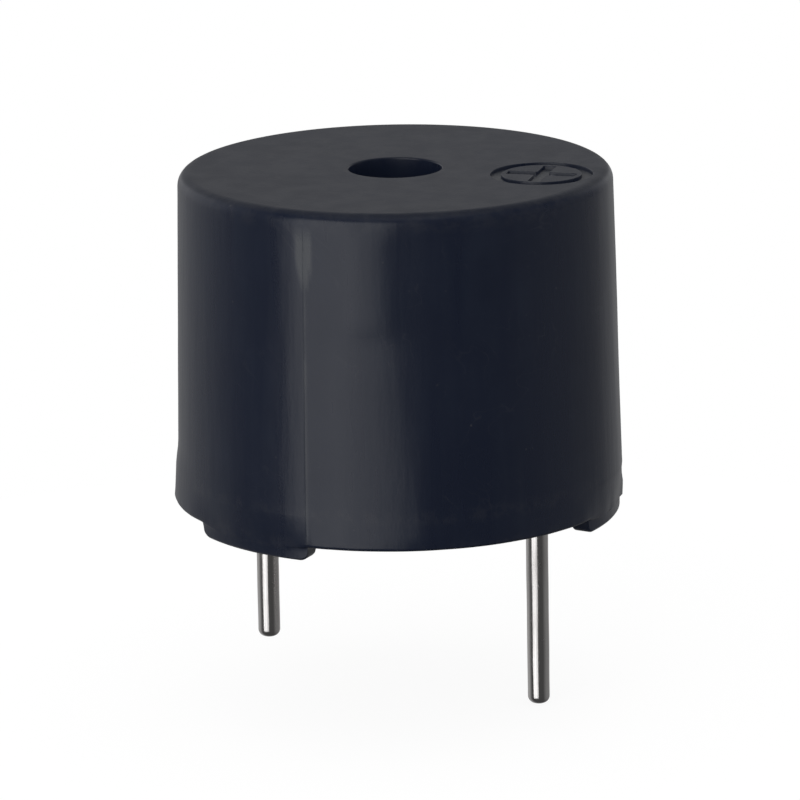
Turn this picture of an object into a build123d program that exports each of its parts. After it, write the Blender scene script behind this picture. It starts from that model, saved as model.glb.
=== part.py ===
"""Magnetic buzzer, 12 mm moulded round can on two lead pins, with its drive circuit inside.

Millimetres. The origin is the centre of the plane the three feet stand on, midway between
the pins. +Z runs up to the sound hole and +X toward the positive pin and the polarity mark.
"""

import math
import os

from build123d import *

os.makedirs("parts", exist_ok=True)

# ---- driving sizes ---------------------------------------------------------------------
rim_radius = 6.0  # outside of the housing just above its rim
body_height = 9.4  # feet to flat top
draft = 0.17  # how much the radius shrinks from rim to top
wall = 0.6  # moulded side wall at the rim
roof = 0.9  # thickness of the flat top
top_round = 0.36  # outside top edge
sound_hole_radius = 1.25

foot_height = 0.4
foot_angle = 38.5  # degrees of rim that one foot covers
foot_count = 3
foot_inset = 0.07  # outer face of a foot, in from the rim
foot_turn = 1.65  # degrees from +X to the middle of the first foot

mark_ring_radius = 1.38  # polarity mark: engraved ring with a plus in it
mark_ring_width = 0.32
mark_bar_length = 1.9
mark_bar_width = 0.36
mark_depth = 0.1
mark_edge_margin = 0.05  # flat left between the ring and the rounded edge

pin_pitch = 7.6
pin_radius = 0.3
shank_radius = 0.35  # a pin widens to this at its top, inside the board and its joint
positive_pin_length = 5.33  # below the feet
negative_pin_length = 3.9
pin_tip_round = 0.2

slide_fit = 0.03  # clearance of a part that drops into the moulding
board_thickness = 0.8
board_recess = 0.3  # board's underside above the rim of the housing
component_gap = 1.25  # board to yoke plate
yoke_thickness = 0.9
magnet_height = 2.0
magnet_width = 1.5
ledge_height = 0.65  # ring ledge between magnet and diaphragm
ledge_reach = 0.52  # how far the ledge stands in from the ring's bore
lip_height = 0.35  # rim of the ring around the diaphragm
lip_width = 0.32
ring_wall = 0.5
diaphragm_thickness = 0.06
air_gap = 0.35  # pole to diaphragm
core_radius = 1.2
coil_to_magnet = 0.65
armature_radius = 1.7
armature_thickness = 0.35
lead_radius = 0.08

# ---- heights that follow ---------------------------------------------------------------
rim_z = foot_height
board_z = rim_z + board_recess
board_top = board_z + board_thickness
yoke_z = board_top + component_gap
yoke_top = yoke_z + yoke_thickness
magnet_top = yoke_top + magnet_height
diaphragm_z = magnet_top + ledge_height
core_top = diaphragm_z - air_gap
lip_top = diaphragm_z + lip_height
ceiling = body_height - roof

# ---- radii that follow -----------------------------------------------------------------
top_radius = rim_radius - draft
bore_radius = rim_radius - wall
ring_radius = bore_radius - slide_fit
ring_bore = ring_radius - ring_wall
magnet_radius = ring_bore - slide_fit
magnet_bore = magnet_radius - magnet_width
diaphragm_radius = ring_radius - lip_width - 0.05
chamber_radius = bore_radius - 0.5
board_radius = bore_radius - slide_fit
coil_radius = magnet_bore - coil_to_magnet
coil_bore = core_radius + slide_fit
lead_circle = coil_radius + 0.27
lead_angles = (-32, 148, 212)
lead_spots = [
    (lead_circle * math.cos(math.radians(a)), lead_circle * math.sin(math.radians(a)))
    for a in lead_angles
]
pin_spots = [(pin_pitch / 2, 0), (-pin_pitch / 2, 0)]


def half_section(points):
    """The closed half section through (radius, height) points, ready to be turned about Z."""
    with BuildSketch(Plane.XZ) as section:
        with BuildLine():
            Polyline(*points, close=True)
        make_face()
    return section.sketch


# ---- housing ---------------------------------------------------------------------------
rim_flare = 0.06
with BuildPart() as housing:
    section = half_section(
        [
            (bore_radius, rim_z),
            (rim_radius + rim_flare, rim_z),
            (rim_radius + rim_flare, rim_z + 0.12),
            (rim_radius, rim_z + 0.45),
            (top_radius, body_height),
            (sound_hole_radius, body_height),
            (sound_hole_radius, ceiling),
            (chamber_radius, ceiling),
            (chamber_radius, lip_top),
            (bore_radius, lip_top),
        ]
    )
    revolve(section, axis=Axis.Z)
    top_edge = housing.edges().filter_by(GeomType.CIRCLE).group_by(Axis.Z)[-1].sort_by(SortBy.RADIUS)
    fillet(top_edge[-1], top_round)
    hole_lip = housing.edges().filter_by(GeomType.CIRCLE).group_by(Axis.Z)[-1].sort_by(SortBy.RADIUS)
    fillet(hole_lip[0], 0.05)
    roof_corner = [
        e
        for e in housing.edges().filter_by(GeomType.CIRCLE)
        if abs(e.radius - chamber_radius) < 0.01 and abs(e.center().Z - ceiling) < 0.01
    ]
    fillet(roof_corner, 0.3)

    # feet: sectors of the rim, one of them under the polarity mark
    for i in range(foot_count):
        start = foot_turn + i * 360 / foot_count - foot_angle / 2
        with BuildPart(mode=Mode.PRIVATE) as foot:
            with BuildSketch(Plane.XZ.rotated((0, 0, start))):
                with Locations(((bore_radius + rim_radius - foot_inset) / 2, foot_height / 2 + 0.1)):
                    Rectangle(rim_radius - foot_inset - bore_radius, foot_height + 0.2)
            revolve(axis=Axis.Z, revolution_arc=foot_angle)
            ends = foot.edges().filter_by(GeomType.LINE).group_by(Axis.Z)[0]
            fillet(ends, 0.22)
        add(foot.part)

    # polarity mark sunk in the top, beside the rounded edge
    mark_x = top_radius - top_round - mark_edge_margin - mark_ring_radius
    with BuildSketch(Plane.XY.offset(body_height)):
        with Locations((mark_x, 0)):
            Circle(mark_ring_radius)
            Circle(mark_ring_radius - mark_ring_width, mode=Mode.SUBTRACT)
            Rectangle(mark_bar_length, mark_bar_width)
            Rectangle(mark_bar_width, mark_bar_length)
    extrude(amount=-mark_depth, mode=Mode.SUBTRACT)
housing.part.label = "housing"
export_step(housing.part, "parts/housing.step")

# ---- diaphragm and the iron disc on it ---------------------------------------------------
with BuildPart() as diaphragm:
    with Locations((0, 0, diaphragm_z)):
        Cylinder(diaphragm_radius, diaphragm_thickness, align=(Align.CENTER, Align.CENTER, Align.MIN))
diaphragm.part.label = "diaphragm"
export_step(diaphragm.part, "parts/diaphragm.step")

armature_z = diaphragm_z + diaphragm_thickness
with BuildPart() as armature_disc:
    with Locations((0, 0, armature_z)):
        Cylinder(armature_radius, armature_thickness, align=(Align.CENTER, Align.CENTER, Align.MIN))
    fillet(armature_disc.edges().filter_by(GeomType.CIRCLE).group_by(Axis.Z)[-1], 0.08)
    # dent of the spot weld
    with Locations((0, 0, armature_z + armature_thickness)):
        Cone(0.15, 0.35, 0.12, align=(Align.CENTER, Align.CENTER, Align.MAX), mode=Mode.SUBTRACT)
armature_disc.part.label = "armature_disc"
export_step(armature_disc.part, "parts/armature_disc.step")

# ---- support ring: carries the magnet below its ledge and the diaphragm above it ---------
ledge_radius = ring_bore - ledge_reach
lip_radius = ring_radius - lip_width
with BuildPart() as support_ring:
    section = half_section(
        [
            (ring_bore, board_top),
            (ring_radius, board_top),
            (ring_radius, lip_top),
            (lip_radius, lip_top),
            (lip_radius, diaphragm_z),
            (ledge_radius, diaphragm_z),
            (ledge_radius, magnet_top),
            (ring_bore, magnet_top),
        ]
    )
    revolve(section, axis=Axis.Z)
support_ring.part.label = "support_ring"
export_step(support_ring.part, "parts/support_ring.step")

# ---- magnet, yoke plate, pole ------------------------------------------------------------
with BuildPart() as ring_magnet:
    with Locations((0, 0, yoke_top)):
        Cylinder(magnet_radius, magnet_height, align=(Align.CENTER, Align.CENTER, Align.MIN))
        Cylinder(magnet_bore, magnet_height, align=(Align.CENTER, Align.CENTER, Align.MIN), mode=Mode.SUBTRACT)
    chamfer(ring_magnet.edges().filter_by(GeomType.CIRCLE), 0.1)
ring_magnet.part.label = "ring_magnet"
export_step(ring_magnet.part, "parts/ring_magnet.step")

rivet_radius = core_radius * 2 / 3
lead_slot_radius = 0.3
with BuildPart() as yoke_plate:
    with Locations((0, 0, yoke_z)):
        Cylinder(ring_bore, yoke_thickness, align=(Align.CENTER, Align.CENTER, Align.MIN))
    fillet(yoke_plate.edges().filter_by(GeomType.CIRCLE), 0.1)
    with Locations((0, 0, yoke_z)):
        Cylinder(rivet_radius, yoke_thickness, align=(Align.CENTER, Align.CENTER, Align.MIN), mode=Mode.SUBTRACT)
    with Locations(*[(x, y, yoke_z) for x, y in lead_spots]):
        Cylinder(
            lead_slot_radius, yoke_thickness, align=(Align.CENTER, Align.CENTER, Align.MIN), mode=Mode.SUBTRACT
        )
yoke_plate.part.label = "yoke_plate"
export_step(yoke_plate.part, "parts/yoke_plate.step")

rivet_head = 0.2
with BuildPart() as pole_core:
    section = half_section(
        [
            (0, yoke_z - rivet_head),
            (rivet_radius + 0.1, yoke_z - rivet_head),
            (rivet_radius + 0.25, yoke_z - rivet_head + 0.1),
            (rivet_radius + 0.25, yoke_z),
            (rivet_radius, yoke_z),
            (rivet_radius, yoke_top),
            (core_radius, yoke_top),
            (core_radius, core_top - 0.1),
            (core_radius - 0.1, core_top),
            (0, core_top),
        ]
    )
    revolve(section, axis=Axis.Z)
pole_core.part.label = "pole_core"
export_step(pole_core.part, "parts/pole_core.step")

# ---- coil: drive and feedback windings in one bundle, three leads to the board -----------
coil_height = core_top - yoke_top - 0.45
lead_z = yoke_top + 0.25
with BuildPart() as coil_winding:
    section = half_section(
        [
            (coil_bore, yoke_top),
            (coil_radius - 0.15, yoke_top),
            (coil_radius, yoke_top + 0.2),
            (coil_radius, yoke_top + coil_height - 0.2),
            (coil_radius - 0.15, yoke_top + coil_height),
            (coil_bore, yoke_top + coil_height),
        ]
    )
    revolve(section, axis=Axis.Z)
    for (x, y), angle in zip(lead_spots, lead_angles):
        with Locations((x, y, lead_z)):
            Sphere(lead_radius)
        with Locations((x, y, board_top)):
            Cylinder(lead_radius, lead_z - board_top, align=(Align.CENTER, Align.CENTER, Align.MIN))
        inward = (-math.cos(math.radians(angle)), -math.sin(math.radians(angle)), 0)
        with Locations(Plane(origin=(x, y, lead_z), z_dir=inward)):
            Cylinder(
                lead_radius, lead_circle - coil_radius + 0.15, align=(Align.CENTER, Align.CENTER, Align.MIN)
            )
coil_winding.part.label = "coil_winding"
export_step(coil_winding.part, "parts/coil_winding.step")

# ---- circuit board -----------------------------------------------------------------------
pin_hole_radius = shank_radius + 0.125
with BuildPart() as circuit_board:
    with Locations((0, 0, board_z)):
        Cylinder(board_radius, board_thickness, align=(Align.CENTER, Align.CENTER, Align.MIN))
    with Locations(*[(x, y, board_z) for x, y in pin_spots]):
        Cylinder(
            pin_hole_radius, board_thickness, align=(Align.CENTER, Align.CENTER, Align.MIN), mode=Mode.SUBTRACT
        )
circuit_board.part.label = "circuit_board"
export_step(circuit_board.part, "parts/circuit_board.step")

# ---- lead pins: straight below, tapering wider inside the board so that they stay put -------
pin_stand = 0.45  # above the board, inside the joint
pin_top = board_top + pin_stand
joint_height = 0.42
taper_z = board_z - joint_height - 0.04


def shank_at(z):
    """Radius of the tapered shank at height z."""
    return pin_radius + (shank_radius - pin_radius) * (z - taper_z) / (pin_top - taper_z)


for name, (x, y), length in (
    ("positive_pin", pin_spots[0], positive_pin_length),
    ("negative_pin", pin_spots[1], negative_pin_length),
):
    with BuildPart(mode=Mode.PRIVATE) as shaft:
        section = half_section(
            [
                (0, -length),
                (pin_radius, -length),
                (pin_radius, taper_z),
                (shank_radius, pin_top),
                (0, pin_top),
            ]
        )
        revolve(section, axis=Axis.Z)
        fillet(shaft.edges().filter_by(GeomType.CIRCLE).group_by(Axis.Z)[0], pin_tip_round)
    with BuildPart() as pin:
        with Locations((x, y, 0)):
            add(shaft.part)
    pin.part.label = name
    export_step(pin.part, f"parts/{name}.step")

# ---- solder around the pins: through the board, with a fillet on either side --------------
joint_radius = 0.82
with BuildPart() as pin_solder:
    with BuildPart(mode=Mode.PRIVATE) as joint:
        with BuildSketch(Plane.XZ):
            with BuildLine():
                low = board_z - joint_height
                high = board_top + joint_height
                low_collar = shank_at(low) + 0.05
                high_collar = shank_at(high) + 0.05
                Polyline((shank_at(high), high), (shank_at(low), low), (low_collar, low))
                Spline(
                    (low_collar, low),
                    (shank_radius + 0.15, board_z - 0.16),
                    (joint_radius, board_z),
                    tangents=[(0.15, 1), (1, 0.35)],
                )
                Polyline(
                    (joint_radius, board_z),
                    (pin_hole_radius, board_z),
                    (pin_hole_radius, board_top),
                    (joint_radius, board_top),
                )
                Spline(
                    (joint_radius, board_top),
                    (shank_radius + 0.15, board_top + 0.16),
                    (high_collar, high),
                    tangents=[(-1, 0.35), (-0.15, 1)],
                )
                Line((high_collar, high), (shank_at(high), high))
            make_face()
        revolve(axis=Axis.Z)
    for x, y in pin_spots:
        with Locations((x, y, 0)):
            add(joint.part)
pin_solder.part.label = "pin_solder"
export_step(pin_solder.part, "parts/pin_solder.step")

# ---- solder domes where the coil's leads end ----------------------------------------------
dome_radius = 0.42
dome_height = 0.3
with BuildPart() as lead_solder:
    with BuildPart(mode=Mode.PRIVATE) as dome:
        with BuildSketch(Plane.XZ):
            with BuildLine():
                Line((lead_radius, 0), (dome_radius, 0))
                ThreePointArc(
                    (dome_radius, 0), (dome_radius * 0.74, dome_height * 0.68), (lead_radius, dome_height)
                )
                Line((lead_radius, dome_height), (lead_radius, 0))
            make_face()
        revolve(axis=Axis.Z)
    for x, y in lead_spots:
        with Locations((x, y, board_top)):
            add(dome.part)
lead_solder.part.label = "lead_solder"
export_step(lead_solder.part, "parts/lead_solder.step")

# ---- transistor: three-lead surface-mount package -----------------------------------------
part_y = 2.9
solder_film = 0.05
package_x, package_y, package_z = 2.9, 1.3, 0.95
leg_width, leg_thickness, leg_reach = 0.4, 0.12, 1.2
leg_z = board_top + solder_film
leg_spots = [(-0.95, -1), (0.95, -1), (0, 1)]
with BuildPart() as transistor_body:
    with BuildSketch(Plane.XY.offset(leg_z + 0.05)):
        with Locations((0, part_y)):
            Rectangle(package_x - 0.1, package_y - 0.1)
    with BuildSketch(Plane.XY.offset(leg_z + 0.5)):
        with Locations((0, part_y)):
            Rectangle(package_x, package_y)
    loft()
    with BuildSketch(Plane.XY.offset(leg_z + 0.5)):
        with Locations((0, part_y)):
            Rectangle(package_x, package_y)
    with BuildSketch(Plane.XY.offset(leg_z + package_z)):
        with Locations((0, part_y)):
            Rectangle(package_x - 0.16, package_y - 0.16)
    loft()
transistor_body.part.label = "transistor_body"
export_step(transistor_body.part, "parts/transistor_body.step")

with BuildPart() as transistor_leads:
    for x, side in leg_spots:
        start = package_y / 2  # the leg leaves the moulding here and bends down to the board
        with BuildSketch(Plane.YZ.offset(x - leg_width / 2)):
            with BuildLine():
                knee = leg_z + 0.5
                Polyline(
                    *[
                        (part_y + side * u, v)
                        for u, v in (
                            (start, knee),
                            (start + 0.2, knee),
                            (start + 0.32, leg_z + leg_thickness),
                            (leg_reach, leg_z + leg_thickness),
                            (leg_reach, leg_z),
                            (start + 0.22, leg_z),
                            (start + 0.12, knee - leg_thickness),
                            (start, knee - leg_thickness),
                        )
                    ],
                    close=True,
                )
            make_face()
        extrude(amount=leg_width)
transistor_leads.part.label = "transistor_leads"
export_step(transistor_leads.part, "parts/transistor_leads.step")

# ---- chip resistor -------------------------------------------------------------------------
chip_x, chip_y, chip_z = 1.6, 0.8, 0.45
cap_length = 0.3
cap_film = 0.03
with BuildPart() as resistor_body:
    with Locations((0, -part_y, leg_z + cap_film)):
        Box(
            chip_x - 2 * cap_film, chip_y, chip_z - 2 * cap_film,
            align=(Align.CENTER, Align.CENTER, Align.MIN),
        )
resistor_body.part.label = "resistor_body"
export_step(resistor_body.part, "parts/resistor_body.step")

with BuildPart() as resistor_caps:
    for side in (-1, 1):
        with Locations((side * (chip_x - cap_length) / 2, -part_y, leg_z)):
            Box(cap_length, chip_y, chip_z, align=(Align.CENTER, Align.CENTER, Align.MIN))
    add(resistor_body.part, mode=Mode.SUBTRACT)
resistor_caps.part.label = "resistor_caps"
export_step(resistor_caps.part, "parts/resistor_caps.step")

# ---- solder under and in front of the surface-mount ends ------------------------------------
toe = 0.3
with BuildPart() as component_solder:
    for x, side in leg_spots:
        with BuildSketch(Plane.YZ.offset(x - leg_width / 2)):
            with BuildLine():
                Polyline(
                    *[
                        (part_y + side * u, v)
                        for u, v in (
                            (leg_reach - 0.33, board_top),
                            (leg_reach + toe, board_top),
                            (leg_reach + toe * 0.35, leg_z + 0.02),
                            (leg_reach, leg_z + 0.1),
                            (leg_reach, leg_z),
                            (leg_reach - 0.33, leg_z),
                        )
                    ],
                    close=True,
                )
            make_face()
        extrude(amount=leg_width)
    for side in (-1, 1):
        end = chip_x / 2
        with BuildSketch(Plane.XZ.offset(part_y - chip_y / 2 + 0.05)):
            with BuildLine():
                Polyline(
                    *[
                        (side * u, v)
                        for u, v in (
                            (end - cap_length, board_top),
                            (end + toe, board_top),
                            (end + toe * 0.35, leg_z + 0.08),
                            (end, leg_z + 0.26),
                            (end, leg_z),
                            (end - cap_length, leg_z),
                        )
                    ],
                    close=True,
                )
            make_face()
        extrude(amount=chip_y - 0.1)
component_solder.part.label = "component_solder"
export_step(component_solder.part, "parts/component_solder.step")

# ---- resin that seals the board's edge to the housing ----------------------------------------
seal_width = 0.62
seal_z = rim_z + 0.04
with BuildPart() as edge_seal:
    with BuildSketch(Plane.XZ):
        with BuildLine():
            Line((bore_radius - seal_width, board_z), (bore_radius, board_z))
            Line((bore_radius, board_z), (bore_radius, seal_z))
            ThreePointArc(
                (bore_radius, seal_z),
                (bore_radius - seal_width * 0.42, seal_z + (board_z - seal_z) * 0.62),
                (bore_radius - seal_width, board_z),
            )
        make_face()
    revolve(axis=Axis.Z)
edge_seal.part.label = "edge_seal"
export_step(edge_seal.part, "parts/edge_seal.step")
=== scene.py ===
"""Looks of a magnetic buzzer: a moulded round can on two tinned pins, with its works inside.

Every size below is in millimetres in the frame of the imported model. The origin is the centre
of the plane that the feet stand on, +Z is up and +X points to the positive pin.
"""

import logging
import math
from dataclasses import dataclass, field
from enum import Enum
from typing import Callable, Optional, Sequence, Union

import bmesh
import bpy
from mathutils import Matrix, Vector, geometry, noise

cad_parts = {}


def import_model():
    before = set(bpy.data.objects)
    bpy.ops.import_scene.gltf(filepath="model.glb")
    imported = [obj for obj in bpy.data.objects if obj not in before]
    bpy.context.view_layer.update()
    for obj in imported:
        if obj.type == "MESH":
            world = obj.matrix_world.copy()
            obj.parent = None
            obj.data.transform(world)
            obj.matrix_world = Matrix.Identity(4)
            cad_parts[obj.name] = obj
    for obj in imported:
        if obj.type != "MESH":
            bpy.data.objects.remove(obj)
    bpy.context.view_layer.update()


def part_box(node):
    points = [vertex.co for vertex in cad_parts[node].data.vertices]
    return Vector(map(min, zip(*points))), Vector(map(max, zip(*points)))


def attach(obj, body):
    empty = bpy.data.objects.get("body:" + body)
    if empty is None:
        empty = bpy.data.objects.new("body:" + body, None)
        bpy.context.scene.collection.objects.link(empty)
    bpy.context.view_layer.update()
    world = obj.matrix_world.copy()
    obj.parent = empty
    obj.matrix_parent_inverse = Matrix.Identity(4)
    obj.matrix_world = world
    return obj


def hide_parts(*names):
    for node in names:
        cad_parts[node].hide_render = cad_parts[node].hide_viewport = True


MM = 0.001  # metres in a millimetre
FINE = 1e-9  # a radius smaller than this is a point on the axis
WELD = 2e-8  # points nearer than this, in metres, become one
log = logging.getLogger("buzzer")

Point = tuple[float, float, float]
Colour = tuple[float, float, float]
Socket = bpy.types.NodeSocket
Feed = Union[Socket, float, Sequence[float]]
Warp = Callable[[float, float, float], tuple[float, float]]


# ---------------------------------------------------------------------------------------
# Shapes
# ---------------------------------------------------------------------------------------
@dataclass(frozen=True)
class Corner:
    """A corner of an outline: radius and height, and how far it is rounded."""

    r: float
    z: float
    round: float = 0.0


def rounded(corners: Sequence[Corner], closed: bool = True, steps: int = 6) -> list[Point]:
    """Round the corners of an outline.

    Args:
        corners: The outline's corners in order.
        closed: Whether the last corner joins the first.
        steps: Straight pieces in each rounding.

    Returns:
        Points (radius, height, edge), where edge is 1 on a rounding and 0 elsewhere.
    """
    points: list[Point] = []
    count = len(corners)
    for i, corner in enumerate(corners):
        if corner.round <= 0 or (not closed and i in (0, count - 1)):
            points.append((corner.r, corner.z, 0.0))
            continue
        here = Vector((corner.r, corner.z))
        before, after = corners[i - 1], corners[(i + 1) % count]
        back = (Vector((before.r, before.z)) - here).normalized()
        on = (Vector((after.r, after.z)) - here).normalized()
        half = back.angle(on) / 2
        reach = corner.round / math.tan(half)
        centre = here + (back + on).normalized() * corner.round / math.sin(half)
        first, last = here + back * reach - centre, here + on * reach - centre
        start = math.atan2(first.y, first.x)
        turn = (math.atan2(last.y, last.x) - start + math.pi) % math.tau - math.pi
        for k in range(steps + 1):
            angle = start + turn * k / steps
            x, y = corner.round * math.cos(angle), corner.round * math.sin(angle)
            points.append((centre.x + x, centre.y + y, 1.0))
    return points


def divided(points: Sequence[Point], longest: float, closed: bool = True) -> list[Point]:
    """Add points on an outline's long straight stretches.

    Args:
        points: Outline points (radius, height, edge).
        longest: Longest stretch left undivided.
        closed: Whether the last point joins the first.

    Returns:
        The outline with the added points, whose edge value is 0.
    """
    out: list[Point] = []
    for i, a in enumerate(points):
        out.append(a)
        if not closed and i == len(points) - 1:
            break
        b = points[(i + 1) % len(points)]
        pieces = math.ceil(math.dist(a[:2], b[:2]) / longest)
        for k in range(1, pieces):
            t = k / pieces
            out.append((a[0] + (b[0] - a[0]) * t, a[1] + (b[1] - a[1]) * t, 0.0))
    return out


def even(count: int) -> list[float]:
    """Return count angles evenly spaced round a turn, in radians."""
    return [math.tau * i / count for i in range(count)]


def circle(x: float, y: float, radius: float, count: int) -> list[tuple[float, float]]:
    """Return the points of a circle about (x, y)."""
    return [(x + radius * math.cos(a), y + radius * math.sin(a)) for a in even(count)]


def apart(angle: float, other: float) -> float:
    """Return how far an angle lies from another one, from -pi to pi."""
    return (angle - other + math.pi) % math.tau - math.pi


def ease(value: float, low: float, high: float) -> float:
    """Return 0 below low and 1 above high, with a smooth rise between them."""
    t = min(max((value - low) / (high - low), 0.0), 1.0)
    return t * t * (3 - 2 * t)


@dataclass
class Solid:
    """A mesh in the making: points in millimetres, faces, and how much each point is an edge."""

    points: list[Point] = field(default_factory=list)
    faces: list[tuple[int, ...]] = field(default_factory=list)
    edge: list[float] = field(default_factory=list)

    def add(self, other: "Solid") -> "Solid":
        """Take in another solid's points and faces, and return this one.

        Args:
            other: The solid that is taken in.

        Returns:
            This solid.
        """
        base = len(self.points)
        self.points += other.points
        self.faces += [tuple(base + i for i in face) for face in other.faces]
        self.edge += other.edge
        return self

    def moved(self, x: float, y: float, z: float) -> "Solid":
        """Return a copy moved by (x, y, z)."""
        points = [(p[0] + x, p[1] + y, p[2] + z) for p in self.points]
        return Solid(points, list(self.faces), list(self.edge))

    def strip(self, first: Sequence[int], second: Sequence[int]) -> None:
        """Join two closed rows of points, or a row and a single point, with faces.

        Args:
            first: Numbers of the first row's points.
            second: Numbers of the second row's points.
        """
        count = max(len(first), len(second))
        for i in range(count):
            j = (i + 1) % count
            if len(first) == 1:
                self.faces.append((first[0], second[j], second[i]))
            elif len(second) == 1:
                self.faces.append((first[i], first[j], second[0]))
            else:
                self.faces.append((first[i], first[j], second[j], second[i]))

    def row(self, points: Sequence[Point], edge: float = 0.0) -> list[int]:
        """Add a row of points and return their numbers.

        Args:
            points: The row's points.
            edge: How much each of them is an edge.

        Returns:
            The numbers of the new points.
        """
        base = len(self.points)
        self.points += points
        self.edge += [edge] * len(points)
        return list(range(base, base + len(points)))

    @classmethod
    def turned(
        cls,
        profile: Sequence[Point],
        angles: Sequence[float],
        closed: bool = True,
        warp: Optional[Warp] = None,
    ) -> "Solid":
        """Turn an outline about the Z axis.

        Args:
            profile: Outline points (radius, height, edge). A radius of 0 becomes one point.
            angles: Where round the turn the outline stands.
            closed: Whether the last point joins the first.
            warp: Gives the (radius, height) that a point has at an angle.

        Returns:
            The turned mesh.
        """
        solid = cls()
        rows: list[list[int]] = []
        for radius, height, edge in profile:
            if radius < FINE:
                rows.append(solid.row([(0.0, 0.0, height)], edge))
                continue
            ring = []
            for angle in angles:
                r, z = warp(angle, radius, height) if warp else (radius, height)
                ring.append((r * math.cos(angle), r * math.sin(angle), z))
            rows.append(solid.row(ring, edge))
        pairs = list(zip(rows, rows[1:])) + ([(rows[-1], rows[0])] if closed else [])
        for first, second in pairs:
            solid.strip(first, second)
        return solid

    @classmethod
    def tube(cls, path: Sequence[Point], radius: float, sides: int = 14) -> "Solid":
        """Lay a round wire along a path, with flat ends.

        Args:
            path: Points along the middle of the wire.
            radius: Its radius.
            sides: Faces round it.

        Returns:
            The wire.
        """
        solid = cls()
        spots = [Vector(p) for p in path]
        rows: list[list[int]] = []
        side = Vector((0.31, 0.17, 0.93))
        for i, spot in enumerate(spots):
            along = (spots[min(i + 1, len(spots) - 1)] - spots[max(i - 1, 0)]).normalized()
            side = (side - along * side.dot(along)).normalized()
            other = along.cross(side)
            round_wire = [side * math.cos(a) + other * math.sin(a) for a in even(sides)]
            rows.append(solid.row([tuple(spot + out * radius) for out in round_wire]))
        for first, second in zip(rows, rows[1:]):
            solid.strip(first, second)
        solid.faces += [tuple(reversed(rows[0])), tuple(rows[-1])]
        return solid

    @classmethod
    def prism(
        cls, outline: Sequence[Point], width: float, rounding: float, turn: Matrix
    ) -> "Solid":
        """Extrude an outline and soften its edges.

        Args:
            outline: Points (across, height, unused).
            width: Length of the extrusion, centred on the outline's plane.
            rounding: How far every sharp edge is rounded.
            turn: Places the prism, whose width runs along local X.

        Returns:
            The placed prism.
        """
        work = bmesh.new()
        near = [work.verts.new((-width / 2, p[0], p[1])) for p in outline]
        far = [work.verts.new((width / 2, p[0], p[1])) for p in outline]
        work.faces.new(near)
        work.faces.new(list(reversed(far)))
        for i in range(len(outline)):
            j = (i + 1) % len(outline)
            work.faces.new((near[j], near[i], far[i], far[j]))
        return cls.softened(work, rounding, turn)

    @classmethod
    def softened(cls, work: bmesh.types.BMesh, rounding: float, turn: Matrix) -> "Solid":
        """Round a work mesh's sharp edges, place it, and take it over as a solid.

        Args:
            work: The mesh, which is freed here.
            rounding: How far every sharp edge is rounded.
            turn: Places the mesh.

        Returns:
            The finished solid.
        """
        bmesh.ops.recalc_face_normals(work, faces=work.faces)
        sharp = [e for e in work.edges if e.calc_face_angle(0.0) > math.radians(25)]
        bmesh.ops.bevel(
            work,
            geom=sharp,
            offset=rounding,
            segments=3,
            profile=0.5,
            affect="EDGES",
            clamp_overlap=True,
        )
        work.transform(turn)
        work.verts.index_update()
        faces = [tuple(v.index for v in face.verts) for face in work.faces]
        solid = cls([tuple(v.co) for v in work.verts], faces)
        solid.edge = [0.0] * len(solid.points)
        work.free()
        return solid

    @classmethod
    def block(cls, size: Point, centre: Point, rounding: float, taper: float = 0.0) -> "Solid":
        """A rounded block, whose top and bottom may be narrower than its waist.

        Args:
            size: Full size along X, Y and Z.
            centre: Where the middle of the block stands.
            rounding: How far its edges are rounded.
            taper: How much the top and bottom stand in from the waist, on each side.

        Returns:
            The block.
        """
        work = bmesh.new()
        rows = []
        for level, inset in ((-0.5, taper), (0.0, 0.0), (0.5, taper)):
            x, y = size[0] / 2 - inset, size[1] / 2 - inset
            spots = ((-x, -y), (x, -y), (x, y), (-x, y))
            rows.append([work.verts.new((u, v, level * size[2])) for u, v in spots])
        work.faces.new(list(reversed(rows[0])))
        work.faces.new(rows[2])
        for low, high in zip(rows, rows[1:]):
            for i in range(4):
                work.faces.new((low[i], low[(i + 1) % 4], high[(i + 1) % 4], high[i]))
        return cls.softened(work, rounding, Matrix.Translation(centre))


def filled(solid: Solid, loops: Sequence[Sequence[int]], holes: Sequence[Sequence[int]]) -> None:
    """Fill the flat field between loops of a solid's points with triangles.

    Args:
        solid: The mesh that holds the points and gets the faces.
        loops: Every closed loop that triangles may not cross, the outer one first.
        holes: Those of the loops whose inside stays open. They are convex.
    """
    numbers = [n for loop in loops for n in loop]
    flat = [Vector(solid.points[n][:2]) for n in numbers]
    edges, base = [], 0
    for loop in loops:
        edges += [(base + i, base + (i + 1) % len(loop)) for i in range(len(loop))]
        base += len(loop)
    _, _, faces, source, _, _ = geometry.delaunay_2d_cdt(flat, edges, [], 0, 1e-7, True)
    open_sets = [set(hole) for hole in holes]
    for face in faces:
        corners = tuple(numbers[source[i][0]] for i in face)
        if not any(all(c in hole for c in corners) for hole in open_sets):
            solid.faces.append(corners)


@dataclass(frozen=True)
class Bore:
    """A round hole through a plate."""

    x: float
    y: float
    radius: float
    rounding: float = 0.03


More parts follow.
